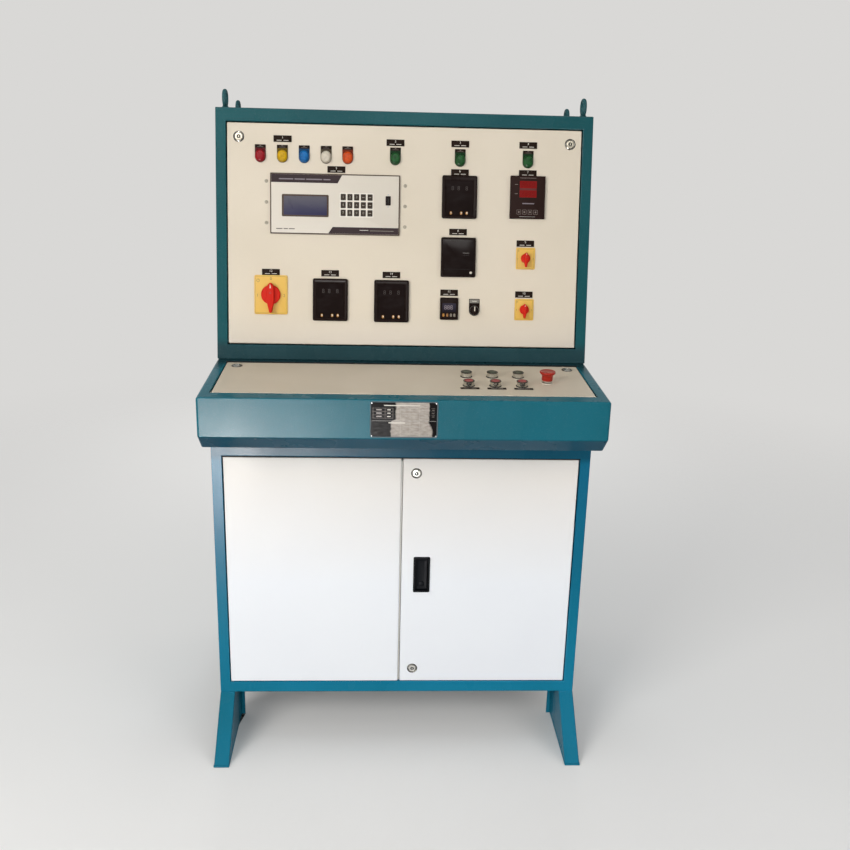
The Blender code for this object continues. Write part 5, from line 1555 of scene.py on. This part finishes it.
def make_floor():
    """A pale floor that fades into the sky all round, so that no edge of it shows.

    Its opacity falls from 1 to 0 between two distances from the middle. It looks pale to
    the camera and in reflections, and darker to the light that bounces off it.
    """
    mesh = bpy.data.meshes.new("studio_floor")
    corners = np.array([(-1, -1, 0), (1, -1, 0), (1, 1, 0), (-1, 1, 0)]) * FLOOR_REACH
    mesh.from_pydata(corners.tolist(), [], [(0, 1, 2, 3)])
    made = Finish("studio_paper", 0.9, sheen={GLOSS: 0.0})
    ray = made.add("ShaderNodeLightPath").outputs
    seen = made.math("MAXIMUM", ray["Is Camera Ray"], ray["Is Glossy Ray"])
    seen = made.math("MAXIMUM", seen, ray["Is Transmission Ray"])
    shown = made.mix(made.noise(0.7, 2), linear("e4e3e1"), linear("e9e8e6"))
    away = made.add("ShaderNodeVectorMath", {0: made.place}, operation="LENGTH").outputs["Value"]
    fade = made.add(
        "ShaderNodeMapRange", {"Value": away, "From Min": 1.5, "From Max": 4.0},
        interpolation_type="SMOOTHSTEP",
    ).outputs["Result"]
    made.use("Alpha", made.math("SUBTRACT", 1.0, made.math("MULTIPLY", fade, seen)))
    made.shader.inputs["Emission Color"].default_value = linear(BACKDROP)
    made.use("Emission Strength", made.math("MULTIPLY", seen, 0.10))
    mesh.materials.append(made.finish(made.mix(seen, linear("454443"), shown)))
    floor = bpy.data.objects.new("studio_floor", mesh)
    bpy.context.scene.collection.objects.link(floor)


def make_sky():
    """A plain sky: one even colour to the camera and in reflections, a softer light else."""
    world = bpy.data.worlds.new("studio_sky")
    world.use_nodes = True
    nodes, links = world.node_tree.nodes, world.node_tree.links
    light = nodes["Background"]
    light.inputs["Color"].default_value = (0.98, 0.99, 1.0, 1.0)
    light.inputs["Strength"].default_value = 0.44
    shown = nodes.new("ShaderNodeBackground")
    shown.inputs["Color"].default_value = linear(BACKDROP)
    path = nodes.new("ShaderNodeLightPath")
    seen = path.outputs["Is Camera Ray"]
    for kind in ("Is Glossy Ray", "Is Transmission Ray"):
        either = nodes.new("ShaderNodeMath")
        either.operation = "MAXIMUM"
        links.new(seen, either.inputs[0])
        links.new(path.outputs[kind], either.inputs[1])
        seen = either.outputs["Value"]
    choice = nodes.new("ShaderNodeMixShader")
    for number, socket in enumerate((seen, light.outputs[0], shown.outputs[0])):
        links.new(socket, choice.inputs[number])
    links.new(choice.outputs[0], nodes["World Output"].inputs["Surface"])
    bpy.context.scene.world = world


# Assembly

make_camera()
make_floor()
make_sky()
for studio_lamp in STUDIO_LAMPS:
    make_studio_lamp(*studio_lamp)
make_sheet_metal()
make_eyebolts()
make_cover_screws()
make_earth_stud()
make_foot_trim()
make_seals()
for lock, lock_way in (("upper_door_latch", (0, -1)), ("lower_door_latch", (0, 1))):
    make_lock(lock, FRONT, RIGHT, lock_way, CHROME)
for side_name, side_way in (("left", (1, 0)), ("right", (-1, 0))):
    make_lock(f"instrument_latch_{side_name}", CONSOLE, DOOR, side_way, SOFT_NICKEL)
    make_lock(f"lid_latch_{side_name}", DESK, LID, side_way, CHROME)
make_pull_handle()
make_buttons()
make_emergency_stop()
make_panel_meters()
make_energy_meter()
make_controller()
make_timer()
make_analyser()
make_lamps()
make_switch("main_switch", 7.2, 60, ("1", "0", "2"))
make_switch("upper_switch", 4.6, 36, ("1", "", "2"))
make_switch("lower_switch", 4.6, 36, ("1", "", "2"))
make_selector()
make_panel_trim()
make_rating_plate()
folded("mounting_plate", STAND, "zinc_steel", GALVANISED, PLATE_FOLD)
make_breaker()
make_contactor()
make_terminal_strip()
make_ducts()

bpy.context.scene.view_settings.view_transform = "Standard"
